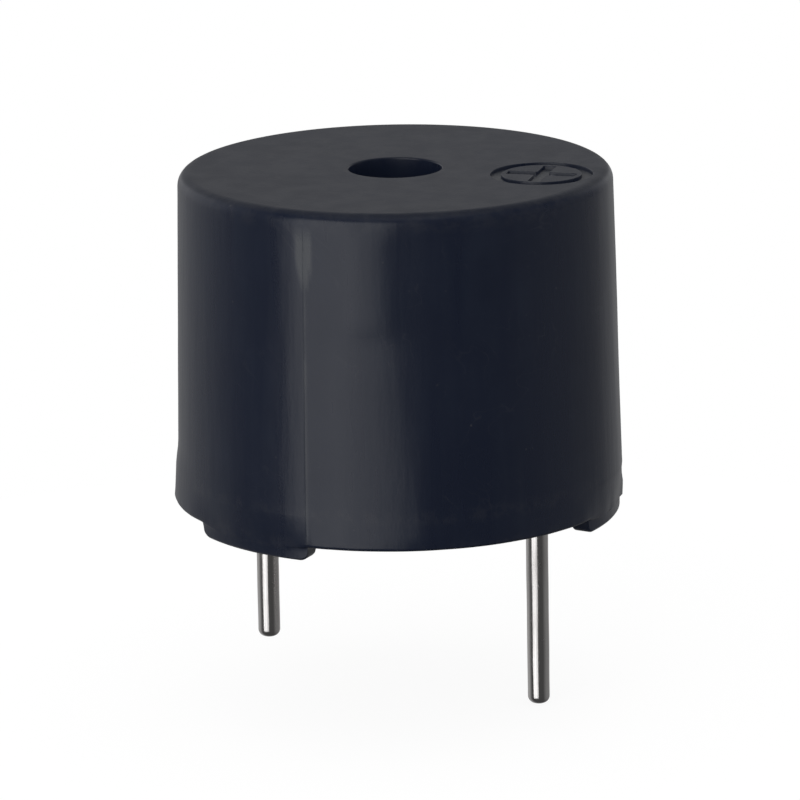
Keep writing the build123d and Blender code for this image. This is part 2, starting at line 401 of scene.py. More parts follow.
def plate(radius: float, low: float, high: float, rounding: float, bores: Sequence[Bore]) -> Solid:
    """A round plate with rounded edges and round holes.

    Args:
        radius: Outside radius.
        low: Height of the underside.
        high: Height of the top.
        rounding: Rounding of the outside edges.
        bores: The holes.

    Returns:
        The plate as one closed mesh.
    """
    solid = Solid()
    tops: list[list[int]] = []
    bottoms: list[list[int]] = []
    rims = [(0.0, 0.0, radius, rounding, -1, 256)]
    rims += [(b.x, b.y, b.radius, b.rounding, 1, 72) for b in bores]
    for x, y, size, soft, side, count in rims:
        corners = [Corner(9, low), Corner(0, low, soft), Corner(0, high, soft), Corner(9, high)]
        wall = rounded(corners, closed=False)
        rows = []
        for inset, z, edge in wall[1:-1]:
            spots = circle(x, y, size + side * inset, count)
            rows.append(solid.row([(u, v, z) for u, v in spots], edge))
        for first, second in zip(rows, rows[1:]):
            solid.strip(first, second)
        bottoms.append(rows[0])
        tops.append(rows[-1])
    filled(solid, tops, tops[1:])
    filled(solid, bottoms, bottoms[1:])
    return solid


# ---------------------------------------------------------------------------------------
# Shader work
# ---------------------------------------------------------------------------------------
class Graph:
    """Adds and joins nodes in one node tree."""

    def __init__(self, tree: bpy.types.NodeTree) -> None:
        """Work in the given tree."""
        self.tree = tree

    def add(self, kind: str, **settings: object) -> bpy.types.Node:
        """Add a node and set its properties.

        Args:
            kind: The node's type.
            settings: Its properties by name.

        Returns:
            The new node.
        """
        node = self.tree.nodes.new(kind)
        for name, value in settings.items():
            setattr(node, name, value)
        return node

    def feed(self, socket: Socket, value: Feed) -> None:
        """Join a socket to another one, or set its value.

        Args:
            socket: The input.
            value: An output to join to it, or a plain value.
        """
        if isinstance(value, bpy.types.NodeSocket):
            self.tree.links.new(value, socket)
        else:
            socket.default_value = value

    def math(self, operation: str, *values: Feed, clamp: bool = False) -> Socket:
        """Do arithmetic on numbers.

        Args:
            operation: What is done.
            values: What it is done to.
            clamp: Whether the result stays from 0 to 1.

        Returns:
            The result.
        """
        node = self.add("ShaderNodeMath", operation=operation, use_clamp=clamp)
        for socket, value in zip(node.inputs, values):
            self.feed(socket, value)
        return node.outputs[0]

    def vector(self, operation: str, *values: Feed) -> bpy.types.Node:
        """Do arithmetic on vectors.

        Args:
            operation: What is done.
            values: What it is done to.

        Returns:
            The node, because some operations give a number and others a vector.
        """
        node = self.add("ShaderNodeVectorMath", operation=operation)
        for socket, value in zip(node.inputs, values):
            self.feed(socket, value)
        return node

    def scaled(self, vector: Feed, by: Sequence[float]) -> Socket:
        """Scale a vector by a factor for each axis."""
        return self.vector("MULTIPLY", vector, tuple(by)).outputs[0]

    def noise(self, vector: Feed, scale: Feed, detail: float = 3.0, rough: float = 0.55) -> Socket:
        """Smooth noise from 0 to 1.

        Args:
            vector: Where it is read.
            scale: How fine it is.
            detail: Layers of finer noise.
            rough: How strong the finer layers are.

        Returns:
            The noise.
        """
        node = self.add("ShaderNodeTexNoise")
        given = {"Vector": vector, "Scale": scale, "Detail": detail, "Roughness": rough}
        for name, value in given.items():
            self.feed(node.inputs[name], value)
        return node.outputs["Fac"]

    def cells(self, vector: Feed, scale: Feed, feature: str = "F1") -> Socket:
        """Distance to the nearest of scattered points.

        Args:
            vector: Where it is read.
            scale: How close together the points are.
            feature: How the distance is taken.

        Returns:
            The distance.
        """
        node = self.add("ShaderNodeTexVoronoi", feature=feature)
        self.feed(node.inputs["Vector"], vector)
        self.feed(node.inputs["Scale"], scale)
        return node.outputs["Distance"]

    def span(
        self, value: Feed, low: float, high: float, out_low: Feed = 0.0, out_high: Feed = 1.0
    ) -> Socket:
        """Carry a value from one range to another, with a smooth rise and clamped ends.

        Args:
            value: What is carried over.
            low: Start of the first range.
            high: End of the first range.
            out_low: Result at the start.
            out_high: Result at the end.

        Returns:
            The result.
        """
        node = self.add("ShaderNodeMapRange", interpolation_type="SMOOTHSTEP")
        names = ("Value", "From Min", "From Max", "To Min", "To Max")
        for name, given in zip(names, (value, low, high, out_low, out_high)):
            self.feed(node.inputs[name], given)
        return node.outputs["Result"]

    def mix(self, factor: Feed, first: Feed, second: Feed) -> Socket:
        """Blend two colours.

        Args:
            factor: Share of the second colour.
            first: The first colour.
            second: The second colour.

        Returns:
            The blend.
        """
        node = self.add("ShaderNodeMix", data_type="RGBA")
        self.feed(node.inputs["Factor"], factor)
        for index, value in ((6, first), (7, second)):  # the sockets A and B for colours
            if not isinstance(value, bpy.types.NodeSocket):
                value = (*value, 1.0)
            self.feed(node.inputs[index], value)
        return node.outputs[2]

    def group(self, tree: bpy.types.NodeTree, **values: Feed) -> bpy.types.Node:
        """Place a node group and set its inputs by name, with _ for a space.

        Args:
            tree: The group.
            values: Its inputs.

        Returns:
            The node.
        """
        node = self.add("ShaderNodeGroup")
        node.node_tree = tree
        for name, value in values.items():
            self.feed(node.inputs[name.replace("_", " ")], value)
        return node


class Effects:
    """Node groups for the surface effects that several finishes share, each built once."""

    def __init__(self) -> None:
        """Build every group."""
        self.spark_grain = self._spark_grain()
        self.rub_marks = self._rub_marks()
        self.dust = self._dust()
        self.worn_edge = self._worn_edge()
        self.drawn_lines = self._drawn_lines()
        self.track = self._track()

    @staticmethod
    def _start(
        name: str, inputs: dict[str, str], outputs: dict[str, str]
    ) -> tuple[Graph, dict[str, Socket], bpy.types.Node]:
        """Open a group with named inputs and outputs.

        Args:
            name: The group's name.
            inputs: Socket kind for each input's name.
            outputs: Socket kind for each output's name.

        Returns:
            The graph, the input sockets by name, and the output node.
        """
        tree = bpy.data.node_groups.new(name, "ShaderNodeTree")
        for kinds, way in ((inputs, "INPUT"), (outputs, "OUTPUT")):
            for label, kind in kinds.items():
                tree.interface.new_socket(name=label, in_out=way, socket_type=f"NodeSocket{kind}")
        graph = Graph(tree)
        given = graph.add("NodeGroupInput")
        return graph, {s.name: s for s in given.outputs if s.name}, graph.add("NodeGroupOutput")

    def _spark_grain(self) -> bpy.types.NodeTree:
        """The fine pitted skin that a spark-eroded mould leaves.

        Returns:
            The group.
        """
        graph, given, out = self._start(
            "Spark grain",
            {"Vector": "Vector", "Scale": "Float"},
            {"Height": "Float", "Tone": "Float"},
        )
        pits = graph.cells(given["Vector"], given["Scale"], "SMOOTH_F1")
        swell = graph.noise(given["Vector"], graph.math("MULTIPLY", given["Scale"], 0.6), 5.0, 0.7)
        pits = graph.math("MULTIPLY", pits, 0.6)
        height = graph.math("ADD", pits, graph.math("MULTIPLY", swell, 0.8))
        graph.feed(out.inputs["Height"], height)
        wide = graph.math("MULTIPLY", given["Scale"], 0.03)
        patches = graph.noise(given["Vector"], wide, 4.0, 0.6)
        graph.feed(out.inputs["Tone"], graph.span(patches, 0.3, 0.7))
        return graph.tree

    def _rub_marks(self) -> bpy.types.NodeTree:
        """Thin scattered scratches from handling, in two directions.

        Returns:
            The group.
        """
        graph, given, out = self._start(
            "Rub marks",
            {"Vector": "Vector", "Scale": "Float", "Amount": "Float"},
            {"Mask": "Float"},
        )
        found: Optional[Socket] = None
        for turn in ((0.3, 1.1, 0.4), (1.2, -0.5, 0.9)):
            turned = graph.add("ShaderNodeVectorRotate", rotation_type="EULER_XYZ")
            graph.feed(turned.inputs["Vector"], given["Vector"])
            graph.feed(turned.inputs["Rotation"], turn)
            long_way = graph.scaled(turned.outputs[0], (1.0, 0.05, 1.0))
            lines = graph.noise(long_way, given["Scale"], 2.0, 0.4)
            middle = graph.math("ABSOLUTE", graph.math("SUBTRACT", lines, 0.5))
            thin = graph.span(middle, 0.0, 0.012, 1.0, 0.0)
            places = graph.noise(turned.outputs[0], graph.math("MULTIPLY", given["Scale"], 0.25))
            one = graph.math("MULTIPLY", thin, graph.span(places, 0.5, 0.7))
            found = graph.math("MAXIMUM", found, one) if found else one
        graph.feed(out.inputs["Mask"], graph.math("MULTIPLY", found, given["Amount"], clamp=True))
        return graph.tree

    def _dust(self) -> bpy.types.NodeTree:
        """A few pale specks and short lint.

        Returns:
            The group.
        """
        graph, given, out = self._start(
            "Dust specks",
            {"Vector": "Vector", "Scale": "Float", "Amount": "Float"},
            {"Mask": "Float"},
        )
        specks = graph.span(graph.cells(given["Vector"], given["Scale"]), 0.03, 0.11, 1.0, 0.0)
        places = graph.noise(given["Vector"], graph.math("MULTIPLY", given["Scale"], 0.3))
        mask = graph.math("MULTIPLY", specks, graph.span(places, 0.52, 0.66))
        mask = graph.math("MULTIPLY", mask, given["Amount"], clamp=True)
        graph.feed(out.inputs["Mask"], mask)
        return graph.tree

    def _worn_edge(self) -> bpy.types.NodeTree:
        """Broken wear along the edges that the mesh marks.

        Returns:
            The group.
        """
        graph, given, out = self._start(
            "Worn edge",
            {"Edge": "Float", "Vector": "Vector", "Scale": "Float", "Amount": "Float"},
            {"Mask": "Float"},
        )
        broken = graph.span(graph.noise(given["Vector"], given["Scale"], 5.0, 0.7), 0.42, 0.62)
        mask = graph.math("MULTIPLY", broken, given["Edge"])
        mask = graph.math("MULTIPLY", mask, given["Amount"], clamp=True)
        graph.feed(out.inputs["Mask"], mask)
        return graph.tree

    def _drawn_lines(self) -> bpy.types.NodeTree:
        """Fine lines along Z, as drawing, extruding or pushing out of a mould leaves them.

        Returns:
            The group.
        """
        graph, given, out = self._start(
            "Drawn lines",
            {"Vector": "Vector", "Scale": "Float"},
            {"Height": "Float", "Tone": "Float"},
        )
        drawn = graph.scaled(given["Vector"], (1.0, 1.0, 0.03))
        fine = graph.noise(drawn, given["Scale"], 4.0, 0.65)
        short = graph.scaled(given["Vector"], (1.0, 1.0, 0.1))
        broad = graph.noise(short, graph.math("MULTIPLY", given["Scale"], 0.2), 3.0, 0.6)
        graph.feed(out.inputs["Height"], fine)
        graph.feed(out.inputs["Tone"], graph.span(broad, 0.3, 0.7))
        return graph.tree

    def _track(self) -> bpy.types.NodeTree:
        """A straight copper track from one point to another, seen from above.

        Returns:
            The group.
        """
        graph, given, out = self._start(
            "Copper track",
            {"Vector": "Vector", "From": "Vector", "To": "Vector", "Half width": "Float"},
            {"Mask": "Float"},
        )
        flat = graph.scaled(given["Vector"], (1.0, 1.0, 0.0))
        here = graph.vector("SUBTRACT", flat, given["From"]).outputs[0]
        run = graph.vector("SUBTRACT", given["To"], given["From"]).outputs[0]
        dot = graph.vector("DOT_PRODUCT", here, run).outputs["Value"]
        square = graph.vector("DOT_PRODUCT", run, run).outputs["Value"]
        share = graph.math("DIVIDE", dot, square, clamp=True)
        foot = graph.vector("SCALE", run)
        graph.feed(foot.inputs["Scale"], share)
        gap = graph.vector("DISTANCE", here, foot.outputs[0]).outputs["Value"]
        over = graph.math("SUBTRACT", gap, given["Half width"])
        graph.feed(out.inputs["Mask"], graph.span(over, -0.02, 0.02, 1.0, 0.0))
        return graph.tree


class Shade:
    """A new material with its shader, object coordinates in millimetres and edge attribute."""

    def __init__(self, name: str, effects: Effects) -> None:
        """Start a material of the given name.

        Args:
            name: The material's name.
            effects: The shared surface effects.
        """
        self.material = bpy.data.materials.new(name)
        self.material.use_nodes = True
        self.graph = Graph(self.material.node_tree)
        self.shader = self.material.node_tree.nodes["Principled BSDF"]
        self.effects = effects
        texture = self.graph.add("ShaderNodeTexCoord")
        self.place = self.graph.scaled(texture.outputs["Object"], (1 / MM,) * 3)
        self.facing = self.graph.add("ShaderNodeSeparateXYZ")
        geometry_node = self.graph.add("ShaderNodeNewGeometry")
        self.graph.feed(self.facing.inputs[0], geometry_node.outputs["Normal"])
        self.edge = self.graph.add("ShaderNodeAttribute", attribute_name="edge").outputs["Fac"]
        # Per point: painted highlight on the housing's joint line and mark groove floor, and its
        # pale patch.
        self.highlight_and_pale_patch = self.graph.add("ShaderNodeAttribute", attribute_name="highlight_and_pale_patch").outputs["Fac"]

    def set(self, **values: Feed) -> None:
        """Set or feed the shader's inputs by name, with _ for a space.

        Args:
            values: The inputs, each a plain value or a socket.
        """
        for name, value in values.items():
            if name == "Base_Color" and not isinstance(value, bpy.types.NodeSocket):
                value = (*value, 1.0)
            self.graph.feed(self.shader.inputs[name.replace("_", " ")], value)

    def bump(self, height: Feed, depth: float, below: Optional[Socket] = None) -> Socket:
        """Raise a height into a normal.

        Args:
            height: The height, from 0 to 1.
            depth: What a height of 1 stands for, in millimetres.
            below: A normal that this one is laid over.

        Returns:
            The normal.
        """
        node = self.graph.add("ShaderNodeBump")
        node.inputs["Strength"].default_value = 1.0
        node.inputs["Distance"].default_value = depth * MM
        self.graph.feed(node.inputs["Height"], height)
        if below:
            self.graph.feed(node.inputs["Normal"], below)
        return node.outputs[0]


# ---------------------------------------------------------------------------------------
# Finishes
# ---------------------------------------------------------------------------------------
@dataclass(frozen=True)
class MouldedPlastic:
    """Dark moulded plastic: a spark-eroded flat top, and sides drawn smoother by the mould."""

    name: str = "Housing plastic"
    colour: Colour = (0.0075, 0.0115, 0.0262)
    pale: Colour = (0.0105, 0.0155, 0.0315)
    top_roughness: float = 0.52
    side_roughness: float = 0.29
    top_grain: float = 0.006
    side_grain: float = 0.0014
    dust: float = 0.5

    def make(self, effects: Effects) -> bpy.types.Material:
        """Build the material from the shared effects and return it.

        Args:
            effects: The shared surface effects.

        Returns:
            The material.
        """
        shade = Shade(self.name, effects)
        graph, place = shade.graph, shade.place
        up = graph.span(graph.math("ABSOLUTE", shade.facing.outputs["Z"]), 0.55, 0.95)
        grain = graph.group(effects.spark_grain, Vector=place, Scale=16.0)
        lines = graph.group(effects.drawn_lines, Vector=place, Scale=7.0)
        marks = graph.group(effects.rub_marks, Vector=place, Scale=1.6, Amount=0.8).outputs[0]
        dust = graph.group(effects.dust, Vector=place, Scale=2.6, Amount=self.dust).outputs[0]
        worn = graph.group(effects.worn_edge, Edge=shade.edge, Vector=place, Scale=3.0, Amount=0.5)
        cloud = graph.math("MULTIPLY", grain.outputs["Tone"], lines.outputs["Tone"])
        colour = graph.mix(cloud, self.colour, self.pale)
        for mask, amount, tint in (
            (worn.outputs[0], 0.25, (0.05, 0.05, 0.055)),
            (marks, 0.12, (0.08, 0.08, 0.085)),
            # Painted highlight on the joint line and on the mark groove's floor, and the paler
            # patch beside the joint line, all a lighter grey.
            (shade.highlight_and_pale_patch, 0.6, (0.055, 0.060, 0.066)),
            (dust, 0.35, (0.16, 0.155, 0.15)),
        ):
            colour = graph.mix(graph.math("MULTIPLY", mask, amount), colour, tint)
        rough = graph.span(up, 0.0, 1.0, self.side_roughness, self.top_roughness)
        uneven = graph.math("SUBTRACT", lines.outputs["Tone"], 0.5)
        rough = graph.math("ADD", rough, graph.math("MULTIPLY", uneven, 0.045))
        # The same painted-highlight places and the pale patch are also a little glossier.
        rough = graph.math("SUBTRACT", rough, graph.math("MULTIPLY", shade.highlight_and_pale_patch, 0.05))
        rough = graph.math("ADD", rough, graph.math("MULTIPLY", dust, 0.2), clamp=True)
        depth = graph.span(up, 0.0, 1.0, self.side_grain, self.top_grain)
        relief = graph.math("MULTIPLY", grain.outputs["Height"], depth)
        streaks = graph.noise(graph.scaled(place, (1.0, 1.0, 0.14)), 1.5, 3.0, 0.5)
        for height, depth in ((lines.outputs["Height"], 0.0012), (streaks, 0.011)):
            drag = graph.math("MULTIPLY", height, graph.span(up, 0.0, 1.0, depth, 0.0))
            relief = graph.math("ADD", relief, drag)
        relief = graph.math("SUBTRACT", relief, graph.math("MULTIPLY", marks, 0.0008))
        shade.set(Base_Color=colour, Roughness=rough, Normal=shade.bump(relief, 1.0), IOR=1.5)
        return shade.material


@dataclass(frozen=True)
class Metal:
    """Bare or plated metal with drawn lines or grain, a little tarnish and fine rub marks."""

    name: str
    colour: Colour
    dull: Colour
    roughness: float
    lines: float = 0.0004
    line_scale: float = 30.0
    grain: float = 0.0004
    grain_scale: float = 14.0
    unevenness: float = 0.12

    def make(self, effects: Effects) -> bpy.types.Material:
        """Build the material from the shared effects and return it.

        Args:
            effects: The shared surface effects.

        Returns:
            The material.
        """
        shade = Shade(self.name, effects)
        graph = shade.graph
        grain = graph.group(effects.spark_grain, Vector=shade.place, Scale=self.grain_scale)
        lines = graph.group(effects.drawn_lines, Vector=shade.place, Scale=self.line_scale)
        marks = graph.group(effects.rub_marks, Vector=shade.place, Scale=5.0, Amount=0.8).outputs[0]
        tarnish = graph.math("MULTIPLY", grain.outputs["Tone"], lines.outputs["Tone"])
        colour = graph.mix(tarnish, self.colour, self.dull)
        rough = graph.math("ADD", self.roughness, graph.math("MULTIPLY", tarnish, self.unevenness))
        rough = graph.math("ADD", rough, graph.math("MULTIPLY", marks, 0.12), clamp=True)
        relief = graph.math("MULTIPLY", lines.outputs["Height"], self.lines)
        pitted = graph.math("MULTIPLY", grain.outputs["Height"], self.grain)
        relief = graph.math("ADD", relief, pitted)
        relief = graph.math("SUBTRACT", relief, graph.math("MULTIPLY", marks, 0.0005))
        shade.set(Base_Color=colour, Roughness=rough, Metallic=1.0, Normal=shade.bump(relief, 1.0))
        return shade.material


@dataclass(frozen=True)
class Mineral:
    """Ceramic, ferrite, resin or other plain solid stuff with grain and worn edges."""

    name: str
    colour: Colour
    pale: Colour
    worn: Colour
    roughness: float
    grain: float = 0.003
    grain_scale: float = 12.0
    wear: float = 0.5
    coat: float = 0.0

    def make(self, effects: Effects) -> bpy.types.Material:
        """Build the material from the shared effects and return it.

        Args:
            effects: The shared surface effects.

        Returns:
            The material.
        """
        shade = Shade(self.name, effects)
        graph = shade.graph
        grain = graph.group(effects.spark_grain, Vector=shade.place, Scale=self.grain_scale)
        worn = graph.group(
            effects.worn_edge, Edge=shade.edge, Vector=shade.place, Scale=5.0, Amount=self.wear
        ).outputs[0]
        specks = graph.group(effects.dust, Vector=shade.place, Scale=4.0, Amount=0.4).outputs[0]
        marks = graph.group(effects.rub_marks, Vector=shade.place, Scale=3.0, Amount=0.5).outputs[0]
        colour = graph.mix(grain.outputs["Tone"], self.colour, self.pale)
        colour = graph.mix(worn, colour, self.worn)
        soiled = graph.math("MULTIPLY", graph.math("MAXIMUM", specks, marks), 0.2)
        colour = graph.mix(soiled, colour, (0.3, 0.3, 0.29))
        uneven = graph.math("MULTIPLY", grain.outputs["Tone"], 0.1)
        rough = graph.math("ADD", self.roughness, uneven)
        rough = graph.math("ADD", rough, graph.math("MULTIPLY", marks, 0.1), clamp=True)
        relief = graph.math("MULTIPLY", grain.outputs["Height"], self.grain)
        relief = graph.math("SUBTRACT", relief, graph.math("MULTIPLY", worn, 0.003))
        shade.set(Base_Color=colour, Roughness=rough, Normal=shade.bump(relief, 1.0))
        shade.set(Coat_Weight=self.coat)
        return shade.material


@dataclass(frozen=True)
class EnamelledWire:
    """Copper seen through a clear amber enamel."""

    name: str = "Enamelled copper"
    copper: Colour = (0.60, 0.22, 0.075)
    dark: Colour = (0.30, 0.085, 0.025)

    def make(self, effects: Effects) -> bpy.types.Material:
        """Build the material from the shared effects and return it.

        Args:
            effects: The shared surface effects.

        Returns:
            The material.
        """
        shade = Shade(self.name, effects)
        graph = shade.graph
        grain = graph.group(effects.spark_grain, Vector=shade.place, Scale=9.0)
        turn = graph.noise(graph.scaled(shade.place, (0.5, 0.5, 9.0)), 1.4, 3.0, 0.6)
        groove = graph.math("SUBTRACT", 1.0, shade.edge, clamp=True)
        tone = graph.math("MULTIPLY", graph.span(turn, 0.25, 0.75), 0.5)
        shadow = graph.math("MAXIMUM", tone, graph.math("MULTIPLY", groove, 0.7))
        colour = graph.mix(shadow, self.copper, self.dark)
        rough = graph.math("ADD", 0.24, graph.math("MULTIPLY", grain.outputs["Tone"], 0.12))
        relief = graph.math("MULTIPLY", grain.outputs["Height"], 0.0008)
        shade.set(Base_Color=colour, Roughness=rough, Metallic=0.85, Normal=shade.bump(relief, 1.0))
        shade.set(Coat_Weight=0.7, Coat_Roughness=0.12)
        return shade.material


@dataclass(frozen=True)
class MaskedBoard:
    """Glass-epoxy board: woven glass on its edge, and solder mask over copper on its faces."""

    pads: tuple[tuple[float, float, float], ...]
    tracks: tuple[tuple[Point, Point], ...]
    name: str = "Board laminate"
    mask: Colour = (0.006, 0.055, 0.022)
    mask_on_copper: Colour = (0.012, 0.115, 0.04)
    glass: Colour = (0.32, 0.29, 0.15)
    tin: Colour = (0.62, 0.61, 0.58)
    half_track: float = 0.16

    def make(self, effects: Effects) -> bpy.types.Material:
        """Build the material from the shared effects and return it.

        Args:
            effects: The shared surface effects.

        Returns:
            The material.
        """
        shade = Shade(self.name, effects)
        graph = shade.graph
        face = graph.span(graph.math("ABSOLUTE", shade.facing.outputs["Z"]), 0.6, 0.9)
        copper: Feed = 0.0
        for start, end in self.tracks:
            ends = {"From": start, "To": end, "Half_width": self.half_track}
            group = graph.group(effects.track, Vector=shade.place, **ends)
            copper = graph.math("MAXIMUM", copper, group.outputs[0])
        bare: Feed = 0.0
        flat = graph.scaled(shade.place, (1.0, 1.0, 0.0))
        for x, y, radius in self.pads:
            gap = graph.vector("DISTANCE", flat, (x, y, 0.0)).outputs["Value"]
            pad = graph.span(gap, radius, radius + 0.02, 1.0, 0.0)
            bare = graph.math("MAXIMUM", bare, pad)
            collar = graph.span(gap, radius + 0.1, radius + 0.14, 1.0, 0.0)
            copper = graph.math("MAXIMUM", copper, collar)
        bare = graph.math("MULTIPLY", bare, face)
        weave_a = graph.noise(graph.scaled(shade.place, (9.0, 0.7, 0.7)), 1.0, 2.0, 0.5)
        weave_b = graph.noise(graph.scaled(shade.place, (0.7, 9.0, 0.7)), 1.0, 2.0, 0.5)
        weave = graph.span(graph.math("MAXIMUM", weave_a, weave_b), 0.45, 0.75)
        grain = graph.group(effects.spark_grain, Vector=shade.place, Scale=6.0)
        specks = graph.group(effects.dust, Vector=shade.place, Scale=3.0, Amount=0.5).outputs[0]
        marks = graph.group(effects.rub_marks, Vector=shade.place, Scale=2.5, Amount=0.7).outputs[0]
        skin = graph.mix(copper, self.mask, self.mask_on_copper)
        skin = graph.mix(graph.math("MULTIPLY", weave, 0.25), skin, (0.01, 0.09, 0.03))
        layers = graph.noise(graph.scaled(shade.place, (1.0, 1.0, 14.0)), 1.2, 2.0, 0.5)
        side = graph.mix(graph.span(layers, 0.35, 0.65), self.glass, (0.18, 0.15, 0.07))
        colour = graph.mix(face, side, skin)
        colour = graph.mix(bare, colour, self.tin)
        soiled = graph.math("MULTIPLY", graph.math("MAXIMUM", specks, marks), 0.25)
        colour = graph.mix(soiled, colour, (0.4, 0.42, 0.38))
        rough = graph.span(face, 0.0, 1.0, 0.75, 0.3)
        rough = graph.math("ADD", rough, graph.math("MULTIPLY", grain.outputs["Tone"], 0.08))
        relief = graph.math("MULTIPLY", copper, 0.03)
        relief = graph.math("ADD", relief, graph.math("MULTIPLY", weave, 0.002))
        relief = graph.math("ADD", relief, graph.math("MULTIPLY", grain.outputs["Height"], 0.002))
        relief = graph.math("SUBTRACT", relief, graph.math("MULTIPLY", bare, 0.012))
        shade.set(Base_Color=colour, Roughness=rough, Metallic=bare, Normal=shade.bump(relief, 1.0))
        return shade.material


# ---------------------------------------------------------------------------------------
# Pieces
# ---------------------------------------------------------------------------------------
class Stuff(Enum):
    """The finishes that the pieces choose from, by the record's slot name."""

    HOUSING = "housing_plastic"
    RING = "ring_plastic"
    SPRING = "spring_alloy"
    IRON = "plated_iron"
    FERRITE = "ferrite"
    WIRE = "enamelled_copper"
    BOARD = "board_laminate"
    PIN = "tinned_pin"
    PACKAGE = "package_resin"
    CERAMIC = "chip_ceramic"
    SOLDER = "solder"
    SEAL = "seal_resin"


class Workshop:
    """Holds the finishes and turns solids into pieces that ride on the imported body."""

    def __init__(self, finishes: dict[Stuff, bpy.types.Material]) -> None:
        """Keep the finished materials."""
        self.finishes = finishes

    def piece(
        self,
        name: str,
        solid: Solid,
        stuff: Stuff,
        node: str,
        crease: float = 32.0,
        highlight_and_pale_patch: Optional[Sequence[float]] = None,
    ) -> None:
        """Make a piece that stands for one CAD node.

        Args:
            name: The piece's name.
            solid: Its mesh, in millimetres.
            stuff: Its finish.
            node: The CAD node that it replaces.
            crease: Angle in degrees above which an edge stays sharp.
            highlight_and_pale_patch: How strongly each point of the mesh is painted paler for a
                painted highlight and for the pale patch, if any is.
        """
        mesh = bpy.data.meshes.new(name)
        mesh.from_pydata([(x * MM, y * MM, z * MM) for x, y, z in solid.points], [], solid.faces)
        for label, values in (("edge", solid.edge), ("highlight_and_pale_patch", highlight_and_pale_patch)):
            if values is not None:
                layer = mesh.attributes.new(label, "FLOAT", "POINT")
                layer.data.foreach_set("value", list(values))
        work = bmesh.new()
        work.from_mesh(mesh)
        bmesh.ops.remove_doubles(work, verts=work.verts, dist=WELD)
        bmesh.ops.recalc_face_normals(work, faces=work.faces)
        work.to_mesh(mesh)
        work.free()
        mesh.shade_smooth()
        mesh.set_sharp_from_angle(angle=math.radians(crease))
        piece = bpy.data.objects.new(name, mesh)
        bpy.context.scene.collection.objects.link(piece)
        mesh.materials.append(self.finishes[stuff])
        weighted = piece.modifiers.new("Even shading", "WEIGHTED_NORMAL")
        weighted.keep_sharp = True
        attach(piece, "root")
        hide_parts(node)
        log.info("%s: %d faces for %s", name, len(mesh.polygons), node)


@dataclass(frozen=True)
class Swell:
    """A soft rise of the can's wall: where it is, how high, and the heights it grows between."""

    angle: float
    rise: float
    low: float
    high: float


